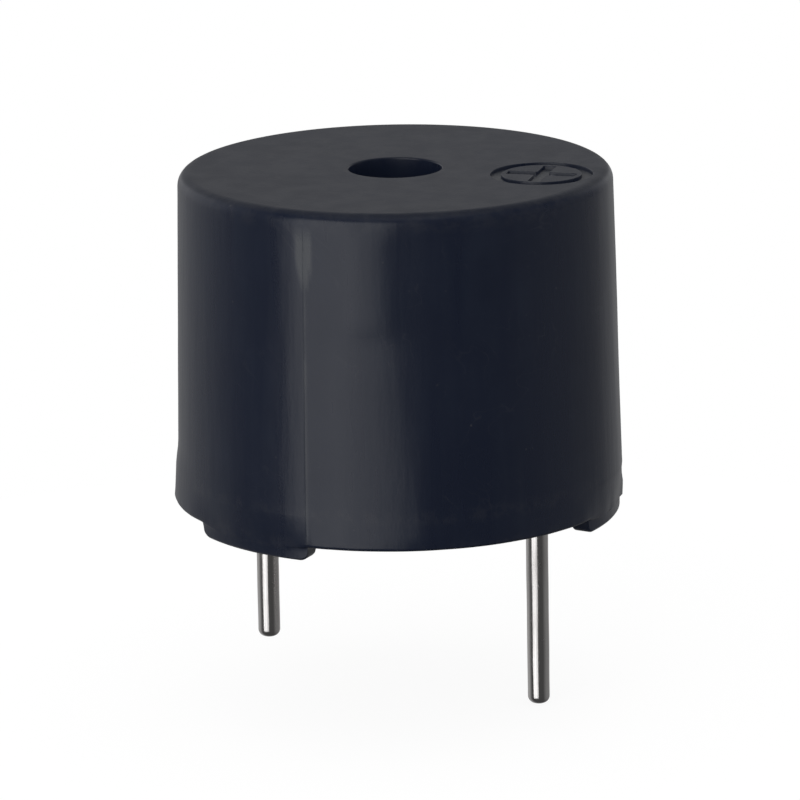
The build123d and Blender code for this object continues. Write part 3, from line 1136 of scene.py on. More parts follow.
@dataclass
class Housing:
    """The moulded can with its sound hole, polarity mark and three feet."""

    rim_radius: float = 6.0
    flare: float = 0.06
    top_radius: float = 5.83
    top_round: float = 0.36
    height: float = 9.4
    rim: float = 0.4
    bore: float = 5.4
    shoulder: float = 6.65
    chamber: float = 4.9
    ceiling: float = 8.5
    hole: float = 1.25
    foot_outer: float = 5.93
    foot_angle: float = 38.5
    foot_turn: float = 1.65
    foot_pitch: float = 120.0
    foot_radius: float = 5.6
    foot_sheer: float = 0.42
    around: int = 384
    closest: float = 0.0012
    swells: tuple[Swell, ...] = (Swell(-82.1, 0.05, 5.9, 6.6), Swell(-67.5, 0.045, 6.3, 1.5))
    swell_spread: float = 0.55
    burr_angle: float = 14.0
    burr_spread: float = 0.06
    burr_out: float = 0.07
    burr_down: float = 0.04
    flash_angle: float = 196.0
    flash_spread: float = 0.32
    flash_out: float = 0.06
    mark_ring: float = 1.38
    mark_line: float = 0.32
    bar_length: float = 1.9
    bar_width: float = 0.36
    mark_margin: float = 0.05
    mark_depth: float = 0.1
    groove: tuple[tuple[float, float], ...] = (
        (-0.015, 0.0),
        (0.0, 0.0),
        (0.007, 0.06),
        (0.012, 0.25),
        (0.017, 0.75),
        (0.023, 0.94),
        (0.034, 1.0),
    )

    @property
    def witness(self) -> float:
        """Angle of the mould's joint line, at the end of one foot, in radians."""
        return math.radians(self.foot_turn - self.foot_pitch + self.foot_angle / 2)

    @property
    def mark_centre(self) -> float:
        """Distance of the polarity mark's middle from the axis."""
        return self.top_radius - self.top_round - self.mark_margin - self.mark_ring

    def _angles(self) -> list[float]:
        """Angles round the can, closer together at the feet's ends and at the joint line.

        Returns:
            The angles in rising order, in radians.
        """
        angles = set(round(a, 6) for a in even(self.around))
        per_mm = 1 / self.foot_radius
        for foot in range(3):
            for side in (-1, 1):
                middle = self.foot_turn + foot * self.foot_pitch
                end = math.radians(middle + side * self.foot_angle / 2)
                for step in range(14):
                    angles.add(round((end - side * (step - 1) * 0.026 * per_mm) % math.tau, 6))
        for step in range(-6, 7):
            angles.add(round((self.witness + step * 0.012 * per_mm) % math.tau, 6))
        spread = sorted(angles)
        kept = [spread[0]]
        for angle in spread[1:]:
            if angle - kept[-1] > self.closest:
                kept.append(angle)
        return kept

    def _inside(self, angle: float) -> float:
        """How far inside the nearest foot's end an angle lies, in millimetres along the rim.

        Args:
            angle: The angle, in radians.

        Returns:
            The distance, which is negative between the feet.
        """
        turn = math.radians(self.foot_pitch)
        off = abs((angle - math.radians(self.foot_turn) + turn / 2) % turn - turn / 2)
        return (math.radians(self.foot_angle / 2) - off) * self.foot_radius

    def _foot(self, inside: float) -> float:
        """How much of the foot's height stands at a distance inside its end, from 0 to 1.

        Args:
            inside: Distance inside the foot's end, in millimetres.

        Returns:
            The share of the height.
        """
        least = 0.02
        if inside <= 0:
            return least
        wall = ease(inside, 0.0, 0.05) * self.foot_sheer
        run = min(max((inside - 0.02) / 0.26, 0.0), 1.0)
        return max(least, wall + (1 - self.foot_sheer) * math.sqrt(1 - (1 - run) ** 2))

    def _warp(self, angle: float, radius: float, height: float) -> tuple[float, float]:
        """Place a point of the section at an angle, with the feet and the wall's unevenness.

        Args:
            angle: Where round the turn the point lies.
            radius: Its radius in the section.
            height: Its height in the section.

        Returns:
            The point's new radius and height.
        """
        r, z = radius, height
        inside = self._inside(angle)
        if z < self.rim - 1e-6:
            z = self.rim - (self.rim - z) * self._foot(inside)
        if radius < self.foot_outer - 0.1 or height < 0.05:
            return r, z
        # Over a foot the wall runs straight on down, without the step of the rim.
        if height < self.rim + 0.8:
            share = ease(inside, -0.5, 0.7) if height > self.rim - 0.02 else 1.0
            down = ease(-z, -(self.rim + 0.8), -0.1)
            flush = self.rim_radius + (self.foot_outer + 0.01 - self.rim_radius) * down
            over = min(1.0, (radius - self.foot_outer + 0.1) / 0.1)
            r += (flush - r) * share * over
            corner = 1 - ease(abs(height - self.rim), 0.0, 0.08)
            z -= 0.06 * share * corner * ease(inside, 0.0, 0.1)
        if z < self.rim - 0.07:
            return r, z
        return self._uneven(angle, r, z)

    def _uneven(self, angle: float, r: float, z: float) -> tuple[float, float]:
        """Add swells, the joint line, waviness, burr and flash to a point of the outer wall.

        Args:
            angle: Where round the turn the point lies.
            r: Its radius.
            z: Its height.

        Returns:
            The point's new radius and height.
        """
        arc = apart(angle, self.witness) * self.rim_radius
        body = ease(z, self.rim + 0.1, self.rim + 0.3) * (1 - ease(z, 8.8, 9.05))
        for swell in self.swells:
            away = apart(angle, math.radians(swell.angle)) * self.rim_radius / self.swell_spread
            up = swell.high > swell.low
            grown = ease(z, swell.low, swell.high) if up else 1 - ease(z, swell.high, swell.low)
            r += swell.rise * grown * math.exp(-away * away / 2) * body
        r += 0.004 * math.exp(-((arc / 0.035) ** 2)) * body
        r -= 0.004 * self._pale_dent(arc, z)
        spot = Vector((math.cos(angle) * 1.3, math.sin(angle) * 1.3, z * 0.22))
        r += (0.007 * noise.noise(spot * 1.7) + 0.0022 * noise.noise(spot * 6.0)) * body
        low = 1 - ease(z, self.rim + 0.15, self.rim + 0.6)
        off = apart(angle, math.radians(self.burr_angle)) / self.burr_spread
        burr = math.exp(-(off**2))
        r += (self.burr_out * burr + 0.012 * noise.noise(spot * 9.0)) * low
        z -= self.burr_down * burr * low
        off = apart(angle, math.radians(self.flash_angle)) / self.flash_spread
        r += self.flash_out * math.exp(-(off**2)) * (1 - ease(z, 1.3, 2.0))
        return r, z

    @staticmethod
    def _pale_dent(arc: float, z: float) -> float:
        """The paler, slightly sunken patch beside the joint line under the top edge, from 0 to 1.

        Args:
            arc: Distance from the joint line along the wall.
            z: The height.

        Returns:
            How pale and sunken the wall is there.
        """
        narrow = ease(-z, -8.2, -7.4)
        left, right = -0.24 + 0.14 * narrow, 0.22 - 0.1 * narrow
        across = ease(arc, left - 0.05, left + 0.05) * (1 - ease(arc, right - 0.05, right + 0.05))
        along = ease(z, 7.35, 7.6) * (1 - ease(z, 8.6, 9.1))
        return across * along

    def _mark_loops(self) -> list[tuple[list[tuple[float, float]], float]]:
        """The polarity mark's outlines from the surface down, each with its depth from 0 to 1.

        Returns:
            Closed outlines, each with its depth.
        """
        centre, tip, inner = self.mark_centre, 0.04, 0.03
        loops = []
        for inset, depth in self.groove:
            loops.append((circle(centre, 0, self.mark_ring - inset, 120), depth))
            loops.append((circle(centre, 0, self.mark_ring - self.mark_line + inset, 110), depth))
            long, wide = self.bar_length / 2 - inset, self.bar_width / 2 - inset
            arm = ((long, -wide, tip), (long, wide, tip), (wide, wide, inner))
            cross: list[Corner] = []
            for _ in range(4):
                cross += [Corner(*spot) for spot in arm]
                arm = tuple((-y, x, soft) for x, y, soft in arm)
            outline = divided(rounded(cross, steps=3), 0.2)
            loops.append(([(centre + x, y) for x, y, _ in outline], depth))
        return loops

    def solid(self) -> Solid:
        """Return the can as one closed mesh.

        Returns:
            The can.
        """
        flat = self.top_radius - self.top_round
        section = rounded(
            [
                Corner(flat - 0.03, self.height),
                Corner(flat, self.height),
                Corner(self.top_radius, self.height, self.top_round - 1e-4),
                Corner(self.rim_radius + 0.01, self.rim + 0.9, 4.0),
                Corner(self.rim_radius + self.flare, self.rim, 0.1),
                Corner(self.foot_outer + 0.02, self.rim, 0.02),
                Corner(self.foot_outer, 0.0, 0.08),
                Corner(self.bore, 0.0, 0.06),
                Corner(self.bore, self.shoulder),
                Corner(self.chamber, self.shoulder, 0.05),
                Corner(self.chamber, self.ceiling, 0.3),
                Corner(self.hole, self.ceiling, 0.05),
                Corner(self.hole, self.height, 0.05),
                Corner(self.hole + 0.2, self.height),
            ],
            closed=False,
            steps=8,
        )
        section = divided(section, 0.22, closed=False)
        angles = self._angles()
        can = Solid.turned(section, angles, closed=False, warp=self._warp)
        count = len(angles)
        outer = list(range(count))
        inner = list(range(len(can.points) - count, len(can.points)))
        loops = [outer, inner]
        for outline, depth in self._mark_loops():
            edge = 1.0 if 0 < depth < 0.5 else 0.0
            z = self.height - depth * self.mark_depth
            loops.append(can.row([(x, y, z) for x, y in outline], edge))
        filled(can, loops, [inner])
        return can

    def _floor_highlight(self, x: float, y: float, z: float) -> float:
        """How much painted highlight a point gets on the floor of the polarity mark's groove, from
        0 to 0.75.

        Args:
            x: The point's place along X.
            y: Its place along Y.
            z: Its height.

        Returns:
            The strength of the painted highlight.
        """
        if math.hypot(x - self.mark_centre, y) > self.mark_ring + 0.01:
            return 0.0
        return 0.75 * ease(self.height - z, 0.94 * self.mark_depth, 0.99 * self.mark_depth)

    def build(self, shop: Workshop) -> None:
        """Make the housing piece.

        Args:
            shop: Makes the pieces.
        """
        can = self.solid()
        highlight_and_pale_patch = []
        for x, y, z in can.points:
            arc = apart(math.atan2(y, x), self.witness) * self.rim_radius
            outside = math.hypot(x, y) > self.bore + 0.1 and self.rim + 0.1 < z < 9.0
            # Painted highlight: the joint line is painted paler where its thin ridge catches the
            # light, and the patch beside it is painted paler too.
            patchy = ease(noise.noise(Vector((0, 0, z * 0.9))), -0.2, 0.3)
            line = math.exp(-((arc / 0.05) ** 2)) * (0.4 + 0.5 * patchy)
            highlight_and_pale_patch.append(max(self._pale_dent(arc, z), line) if outside else 0.0)
            # Painted highlight on the floor of the polarity mark's groove.
            highlight_and_pale_patch[-1] += self._floor_highlight(x, y, z)
        shop.piece("moulded_housing", can, Stuff.HOUSING, "housing", 38.0, highlight_and_pale_patch)


@dataclass
class LeadPins:
    """The two tinned pins and the solder that holds them in the board."""

    pitch: float = 7.6
    radius: float = 0.3
    shank: float = 0.35
    positive: float = 5.33
    negative: float = 3.9
    tip: float = 0.2
    board_low: float = 0.7
    board_high: float = 1.5
    hole: float = 0.475
    joint: float = 0.82
    joint_height: float = 0.42
    stand: float = 0.45

    @property
    def taper_low(self) -> float:
        """Height where a pin starts to widen."""
        return self.board_low - self.joint_height - 0.04

    def _shank(self, z: float) -> float:
        """Return a pin's radius at a height inside the board."""
        rise = self.board_high + self.stand - self.taper_low
        return self.radius + (self.shank - self.radius) * (z - self.taper_low) / rise

    def _pin(self, length: float, seed: float) -> Solid:
        """One pin with its rounded tip, standing on the Z axis.

        Args:
            length: How far the pin reaches below the feet.
            seed: Tells one pin's dents from another's.

        Returns:
            The pin.
        """
        top = self.board_high + self.stand
        section = rounded(
            [
                Corner(0.0, -length),
                Corner(self.radius, -length, self.tip),
                Corner(self.radius, self.taper_low, 0.5),
                Corner(self.shank, top, 0.04),
                Corner(0.0, top),
            ],
            closed=False,
            steps=10,
        )
        section = divided(section, 0.12, closed=False)

        def uneven(angle: float, r: float, z: float) -> tuple[float, float]:
            """Leave the slight dents of cutting and tinning in the free end.

            Args:
                angle: Where round the turn the point lies.
                r: Its radius.
                z: Its height.

            Returns:
                The point's new radius and height.
            """
            if z > self.taper_low or r < self.radius * 0.5:
                return r, z
            spot = Vector((math.cos(angle) * 0.5 + seed, math.sin(angle) * 0.5, z * 0.55))
            return r * (1 + 0.02 * noise.noise(spot * 1.6)), z

        return Solid.turned(section, even(72), closed=False, warp=uneven)

    def _joint(self, seed: float) -> Solid:
        """The solder round one pin: hollow fillets on both faces and a filled hole.

        Args:
            seed: Tells one joint's outline from another's.

        Returns:
            The solder.
        """
        low, high = self.board_low - self.joint_height, self.board_high + self.joint_height
        section: list[Point] = []
        steps = 12
        for face, end in ((self.board_low, low), (self.board_high, high)):
            curve = []
            for k in range(steps + 1):
                t = k / steps
                reach = (1 - t) ** 2.3
                r = self._shank(end) + 0.05 + (self.joint - self._shank(end) - 0.05) * reach
                curve.append((r, face + (end - face) * t, 0.0))
            section += list(reversed(curve)) if face == self.board_low else curve
        middle = steps + 1
        bore = [(self.hole, self.board_low, 0.0), (self.hole, self.board_high, 0.0)]
        section[middle:middle] = bore
        section += [(self._shank(high), high, 0.0), (self._shank(low), low, 0.0)]

        def wetted(angle: float, r: float, z: float) -> tuple[float, float]:
            """Let the solder's outer edge wander a little.

            Args:
                angle: Where round the turn the point lies.
                r: Its radius.
                z: Its height.

            Returns:
                The point's new radius and height.
            """
            out = ease(r, self.hole, self.joint)
            spot = Vector((math.cos(angle) + seed, math.sin(angle), z))
            return r + 0.03 * out * noise.noise(spot * 1.5), z

        return Solid.turned(section, even(96), closed=True, warp=wetted)

    def build(self, shop: Workshop) -> None:
        """Make both pins and their joints.

        Args:
            shop: Makes the pieces.
        """
        x = self.pitch / 2
        positive = self._pin(self.positive, 3.0).moved(x, 0, 0)
        shop.piece("positive_lead_pin", positive, Stuff.PIN, "positive_pin")
        negative = self._pin(self.negative, 7.0).moved(-x, 0, 0)
        shop.piece("negative_lead_pin", negative, Stuff.PIN, "negative_pin")
        joints = self._joint(1.0).moved(x, 0, 0).add(self._joint(5.0).moved(-x, 0, 0))
        shop.piece("pin_solder_joints", joints, Stuff.SOLDER, "pin_solder", 60.0)


@dataclass
class DriveBoard:
    """The circuit board with its two parts, their solder and the resin round its edge."""

    radius: float = 5.37
    low: float = 0.7
    high: float = 1.5
    bore: float = 5.4
    rim: float = 0.4
    seal_width: float = 0.62
    part_y: float = 2.9
    film: float = 0.05
    package: Point = (2.9, 1.3, 0.9)
    leg_width: float = 0.4
    leg_thickness: float = 0.12
    leg_reach: float = 1.2
    chip: Point = (1.6, 0.8, 0.45)
    cap: float = 0.3
    toe: float = 0.3
    pins: LeadPins = field(default_factory=LeadPins)
    legs: tuple[tuple[float, int], ...] = ((-0.95, -1), (0.95, -1), (0.0, 1))

    @property
    def leg_z(self) -> float:
        """Height of the parts' feet, on their film of solder."""
        return self.high + self.film

    def _side(self, x: float, side: int) -> Matrix:
        """Place a prism at x on the transistor's near (-1) or far (1) side.

        Args:
            x: Place along X.
            side: The side, -1 or 1.

        Returns:
            The placing.
        """
        turn = Matrix.Rotation(0.0 if side > 0 else math.pi, 4, "Z")
        return Matrix.Translation((x, self.part_y, 0)) @ turn

    def _end(self, side: int, z: float) -> Matrix:
        """Place a prism at a height on the resistor's left (-1) or right (1) end.

        Args:
            side: The end, -1 or 1.
            z: The height.

        Returns:
            The placing.
        """
        turn = Matrix.Rotation(-side * math.pi / 2, 4, "Z")
        return Matrix.Translation((0, -self.part_y, z)) @ turn

    def _leg(self, x: float, side: int) -> Solid:
        """One gull-wing leg.

        Args:
            x: Place of the leg along X.
            side: Its side, -1 or 1.

        Returns:
            The leg.
        """
        start, foot, thick = self.package[1] / 2, self.leg_z, self.leg_thickness
        knee = foot + 0.5
        spots = [(start, knee), (start + 0.17, knee), (start + 0.21, knee - 0.03)]
        spots += [(start + 0.32, foot + thick), (self.leg_reach, foot + thick)]
        spots += [(self.leg_reach, foot), (start + 0.26, foot), (start + 0.22, foot + 0.04)]
        spots += [(start + 0.12, knee - thick), (start, knee - thick)]
        outline = [(*spot, 0.0) for spot in spots]
        return Solid.prism(outline, self.leg_width, 0.015, self._side(x, side))

    def _fillet(self, end: float, under: float, rise: float, width: float, turn: Matrix) -> Solid:
        """Solder under and in front of a foot.

        Args:
            end: Where the foot ends.
            under: How far the solder runs back under it.
            rise: How high it climbs on the end.
            width: Its width.
            turn: Places it.

        Returns:
            The solder.
        """
        spots = [(end - under, self.high), (end + self.toe, self.high)]
        for k in range(1, 7):
            t = k / 6
            spots.append((end + self.toe * (1 - t) ** 1.9, self.high + (rise + self.film) * t))
        spots += [(end, self.leg_z), (end - under, self.leg_z)]
        return Solid.prism([(*spot, 0.0) for spot in spots], width, 0.01, turn)

    def _seal(self) -> Solid:
        """The resin meniscus between board and housing.

        Returns:
            The resin.
        """
        low = self.rim + 0.04
        section: list[Point] = [(self.bore, self.low, 0.0)]
        for k in range(15):
            t = k / 14
            r = self.bore - self.seal_width * t
            z = low + (self.low - low) * (1 - (1 - t) ** 2.1)
            section.append((r, z, 1.0 if k > 11 else 0.0))

        def crept(angle: float, r: float, z: float) -> tuple[float, float]:
            """Let the resin's inner edge wander.

            Args:
                angle: Where round the turn the point lies.
                r: Its radius.
                z: Its height.

            Returns:
                The point's new radius and height.
            """
            inward = ease(self.bore - r, 0.2, self.seal_width)
            spot = Vector((math.cos(angle) * 2.2, math.sin(angle) * 2.2, 0.3))
            return r + 0.05 * inward * noise.noise(spot * 2.0), z

        return Solid.turned(section, even(256), closed=True, warp=crept)

    def build(self, shop: Workshop) -> None:
        """Make the board, the parts on it, their solder and the seal.

        Args:
            shop: Makes the pieces.
        """
        x = self.pins.pitch / 2
        bores = [Bore(x, 0, self.pins.hole, 0.015), Bore(-x, 0, self.pins.hole, 0.015)]
        board = plate(self.radius, self.low, self.high, 0.03, bores)
        shop.piece("drive_circuit_board", board, Stuff.BOARD, "circuit_board")
        waist = self.leg_z + 0.5 * self.package[2] + 0.05
        body = Solid.block(self.package, (0, self.part_y, waist), 0.04, 0.07)
        shop.piece("transistor_package", body, Stuff.PACKAGE, "transistor_body", 20.0)
        legs, solder = Solid(), Solid()
        for spot, side in self.legs:
            legs.add(self._leg(spot, side))
            place = self._side(spot, side)
            solder.add(self._fillet(self.leg_reach, 0.33, 0.1, self.leg_width, place))
        shop.piece("transistor_legs", legs, Stuff.PIN, "transistor_leads", 25.0)
        film = 0.03
        inner = tuple(s - 2 * film * (i != 1) for i, s in enumerate(self.chip))
        middle = self.leg_z + self.chip[2] / 2
        chip = Solid.block(inner, (0, -self.part_y, middle), 0.015)
        shop.piece("resistor_chip", chip, Stuff.CERAMIC, "resistor_body", 25.0)
        caps = self._caps(film, middle)
        shop.piece("resistor_end_caps", caps, Stuff.SOLDER, "resistor_caps", 25.0)
        for side in (-1, 1):
            width = self.chip[1] - 0.1
            solder.add(self._fillet(self.chip[0] / 2, self.cap, 0.26, width, self._end(side, 0)))
        shop.piece("surface_solder", solder, Stuff.SOLDER, "component_solder", 40.0)
        shop.piece("edge_sealing_resin", self._seal(), Stuff.SEAL, "edge_seal", 50.0)

    def _caps(self, film: float, middle: float) -> Solid:
        """The metal sleeves on the resistor's ends: a ring round the chip and a closed end.

        Args:
            film: How thick the metal is.
            middle: Height of the chip's middle.

        Returns:
            Both sleeves.
        """
        length, width, height = self.chip
        both = Solid()
        for side in (-1, 1):
            end, back = length / 2, length / 2 - self.cap
            top, within = height / 2, height / 2 - film
            spots = [(back, -top), (end, -top), (end, top), (back, top)]
            spots += [(back, within), (end - film, within), (end - film, -within), (back, -within)]
            outline = [(*spot, 0.0) for spot in spots]
            both.add(Solid.prism(outline, width, 0.008, self._end(side, middle)))
        return both


@dataclass
class Works:
    """The magnetic works: yoke, pole, coil, magnet, diaphragm and the ring that holds them."""

    ring_outer: float = 5.37
    ring_bore: float = 4.87
    ledge: float = 4.35
    lip: float = 5.05
    board_top: float = 1.5
    yoke_low: float = 2.75
    yoke_high: float = 3.65
    magnet_high: float = 5.65
    seat: float = 6.3
    lip_high: float = 6.65
    magnet_outer: float = 4.84
    magnet_inner: float = 3.34
    core: float = 1.2
    rivet: float = 0.8
    core_high: float = 5.95
    coil_inner: float = 1.23
    coil_outer: float = 2.69
    coil_high: float = 5.5
    wire: float = 0.08
    wire_pitch: float = 0.062
    lead_circle: float = 2.96
    lead_angles: tuple[float, ...] = (-32.0, 148.0, 212.0)
    lead_bend: float = 0.08
    dome: float = 0.42
    dome_height: float = 0.3
    sheet: float = 0.06
    sheet_radius: float = 5.0
    disc: float = 1.7
    disc_height: float = 0.35

    def lead_ends(self) -> list[tuple[float, float, float]]:
        """Where the coil's leads stand: x, y and the angle.

        Returns:
            A row for each lead.
        """
        turns = [math.radians(a) for a in self.lead_angles]
        return [(self.lead_circle * math.cos(a), self.lead_circle * math.sin(a), a) for a in turns]

    def _coil(self) -> Solid:
        """The wound bundle, whose outside shows every turn climbing as a helix, and its leads.

        Returns:
            The coil with its leads.
        """
        low, high, pitch = self.yoke_high, self.coil_high, self.wire_pitch
        outline = [Corner(self.coil_inner, low), Corner(self.coil_outer, low, 0.18)]
        outline += [Corner(self.coil_outer, high, 0.18), Corner(self.coil_inner, high)]
        corners = rounded(outline, steps=10)
        section: list[Point] = []
        for a, b in zip(corners, corners[1:] + corners[:1]):
            wall = min(a[0], b[0]) > self.coil_outer - 0.01
            section += divided([a, b], pitch / 6 if wall else 0.12, closed=False)[:-1]

        def wound(angle: float, r: float, z: float) -> tuple[float, float]:
            """Swell the outside into turns of wire.

            Args:
                angle: Where round the turn the point lies.
                r: Its radius.
                z: Its height.

            Returns:
                The point's new radius and height.
            """
            if r < self.coil_outer - 0.2:
                return r, z
            phase = (z - low) / pitch - angle / math.tau
            return r - 0.5 * pitch * (1 - abs(math.sin(math.pi * phase)) ** 0.7), z

        coil = Solid.turned(section, even(180), closed=True, warp=wound)
        groove, crest = self.coil_outer - 0.5 * pitch, self.coil_outer - 0.1 * pitch
        coil.edge = [ease(math.hypot(x, y), groove, crest) for x, y, _ in coil.points]
        for x, y, angle in self.lead_ends():
            wire = Solid.tube(self._lead(x, y, angle), self.wire)
            wire.edge = [1.0] * len(wire.points)
            coil.add(wire)
        return coil

    def _lead(self, x: float, y: float, angle: float) -> list[Point]:
        """The way of one lead: out of the bundle, over the yoke, and down to the board.

        Args:
            x: Where the lead ends along X.
            y: Where it ends along Y.
            angle: Its direction from the axis.

        Returns:
            Points along the wire.
        """
        out, high, bend = Vector((math.cos(angle), math.sin(angle), 0)), 0.25, self.lead_bend
        start = out * (self.coil_outer - 0.12)
        reach = out * (self.lead_circle - self.coil_outer + 0.04)
        path = [(*((start + reach * t).xy), self.yoke_high + high) for t in (0.0, 0.5, 1.0)]
        for k in range(1, 7):
            turn = math.pi / 2 * k / 6
            spot = out * (self.lead_circle - bend + bend * math.sin(turn))
            path.append((*(spot.xy), self.yoke_high + high - bend * (1 - math.cos(turn))))
        return path + [(x, y, self.yoke_high - 0.4), (x, y, 2.2), (x, y, self.board_top)]

    def _domes(self) -> Solid:
        """The solder domes that hold the leads.

        Returns:
            The domes.
        """
        domes = Solid()
        for i, (x, y, _) in enumerate(self.lead_ends()):
            section = [(self.wire, 0.0, 0.0), (self.dome, 0.0, 0.0)]
            for k in range(1, 13):
                t = k / 12
                r = self.dome - (self.dome - self.wire) * t**1.25
                section.append((r, self.dome_height * math.sin(math.pi / 2 * t) ** 0.85, 0.0))

            def spread(angle: float, r: float, z: float) -> tuple[float, float]:
                """Let each dome's outline differ a little.

                Args:
                    angle: Where round the turn the point lies.
                    r: Its radius.
                    z: Its height.

                Returns:
                    The point's new radius and height.
                """
                spot = Vector((math.cos(angle) + 3.0 * i, math.sin(angle), 0.0))
                return r * (1 + 0.05 * ease(r, self.wire, self.dome) * noise.noise(spot * 1.5)), z

            dome = Solid.turned(section, even(64), closed=True, warp=spread)
            domes.add(dome.moved(x, y, self.board_top))
        return domes

    def _ring(self) -> Solid:
        """The moulded support ring.

        Returns:
            The ring.
        """
        outline = [
            Corner(self.ring_bore, self.board_top, 0.04),
            Corner(self.ring_outer, self.board_top, 0.06),
            Corner(self.ring_outer, self.lip_high, 0.06),
            Corner(self.lip, self.lip_high, 0.05),
            Corner(self.lip, self.seat, 0.02),
            Corner(self.ledge, self.seat, 0.05),
            Corner(self.ledge, self.magnet_high, 0.05),
            Corner(self.ring_bore, self.magnet_high, 0.02),
        ]
        return Solid.turned(divided(rounded(outline, steps=4), 0.6), even(256))

    def _diaphragm(self) -> Solid:
        """The thin spring disc, with a faint pressed ring about the weld.

        Returns:
            The disc.
        """
        low, high = self.seat, self.seat + self.sheet
        section = [(0.0, low, 0.0)]
        steps = 60
        for k in range(1, steps + 1):
            section.append((self.sheet_radius * k / steps, low, 1.0 if k == steps else 0.0))
        for k in range(steps, 0, -1):
            section.append((self.sheet_radius * k / steps, high, 1.0 if k == steps else 0.0))
        section.append((0.0, high, 0.0))

        def pressed(_: float, r: float, z: float) -> tuple[float, float]:
            """Raise the pressed ring."""
            return r, z + 0.012 * math.exp(-(((r - 3.1) / 0.22) ** 2))

        return Solid.turned(section, even(220), closed=False, warp=pressed)

    def _magnet(self) -> Solid:
        """The ferrite ring, with small nicks in its brittle edges.

        Returns:
            The magnet.
        """
        low, high, soft = self.yoke_high, self.magnet_high, 0.1
        outline = [Corner(self.magnet_inner, low, soft), Corner(self.magnet_outer, low, soft)]
        outline += [Corner(self.magnet_outer, high, soft), Corner(self.magnet_inner, high, soft)]
        middle, centre = (low + high) / 2, 4.1

        def chipped(angle: float, r: float, z: float) -> tuple[float, float]:
            """Nick the brittle edges.

            Args:
                angle: Where round the turn the point lies.
                r: Its radius.
                z: Its height.

            Returns:
                The point's new radius and height.
            """
            spot = Vector((math.cos(angle) * r, math.sin(angle) * r, z))
            nick = max(0.0, noise.noise(spot * 2.3) - 0.25) * ease(abs(z - middle), 0.8, 1.0)
            side = 1 if r < centre else -1
            return r + side * 0.09 * nick, z

        section = divided(rounded(outline, steps=4), 0.25)
        return Solid.turned(section, even(300), warp=chipped)

    def _pole(self) -> Solid:
        """The pole core, riveted through the yoke.

        Returns:
            The core.
        """
        head = self.yoke_low - 0.2
        outline = [
            Corner(0, head),
            Corner(self.rivet + 0.2, head, 0.12),
            Corner(self.rivet + 0.25, self.yoke_low, 0.04),
            Corner(self.rivet, self.yoke_low, 0.01),
            Corner(self.rivet, self.yoke_high, 0.01),
            Corner(self.core, self.yoke_high, 0.02),
            Corner(self.core, self.core_high, 0.1),
            Corner(0, self.core_high),
        ]
        section = divided(rounded(outline, closed=False), 0.2, closed=False)
        return Solid.turned(section, even(120), closed=False)

    def _armature(self) -> Solid:
        """The disc that the pole pulls, with the dimple of its weld.

        Returns:
            The disc.
        """
        base = self.seat + self.sheet
        top = base + self.disc_height
        outline = [
            Corner(0, base),
            Corner(self.disc, base, 0.02),
            Corner(self.disc, top, 0.08),
            Corner(0.38, top, 0.05),
            Corner(0.16, top - 0.1, 0.04),
            Corner(0, top - 0.12),
        ]
        section = divided(rounded(outline, closed=False), 0.2, closed=False)
        return Solid.turned(section, even(140), closed=False)

    def build(self, shop: Workshop) -> None:
        """Make every piece of the works.

        Args:
            shop: Makes the pieces.
        """
        shop.piece("diaphragm_support_ring", self._ring(), Stuff.RING, "support_ring")
        shop.piece("ferrite_ring_magnet", self._magnet(), Stuff.FERRITE, "ring_magnet")
        bores = [Bore(0, 0, self.rivet, 0.02)]
        bores += [Bore(x, y, 0.3, 0.03) for x, y, _ in self.lead_ends()]
        yoke = plate(self.ring_bore, self.yoke_low, self.yoke_high, 0.1, bores)
        shop.piece("stamped_yoke_plate", yoke, Stuff.IRON, "yoke_plate")
        shop.piece("riveted_pole_core", self._pole(), Stuff.IRON, "pole_core")
        shop.piece("wound_coil", self._coil(), Stuff.WIRE, "coil_winding", 60.0)
        shop.piece("coil_lead_solder", self._domes(), Stuff.SOLDER, "lead_solder", 60.0)
        shop.piece("spring_diaphragm", self._diaphragm(), Stuff.SPRING, "diaphragm")
        shop.piece("welded_armature_disc", self._armature(), Stuff.IRON, "armature_disc")


# ---------------------------------------------------------------------------------------
# Studio
# ---------------------------------------------------------------------------------------
@dataclass(frozen=True)
class Lamp:
    """A soft lamp: its direction from the camera's in degrees, its size in metres, its level."""

    name: str
    azimuth: float
    elevation: float
    size: tuple[float, float]
    level: float


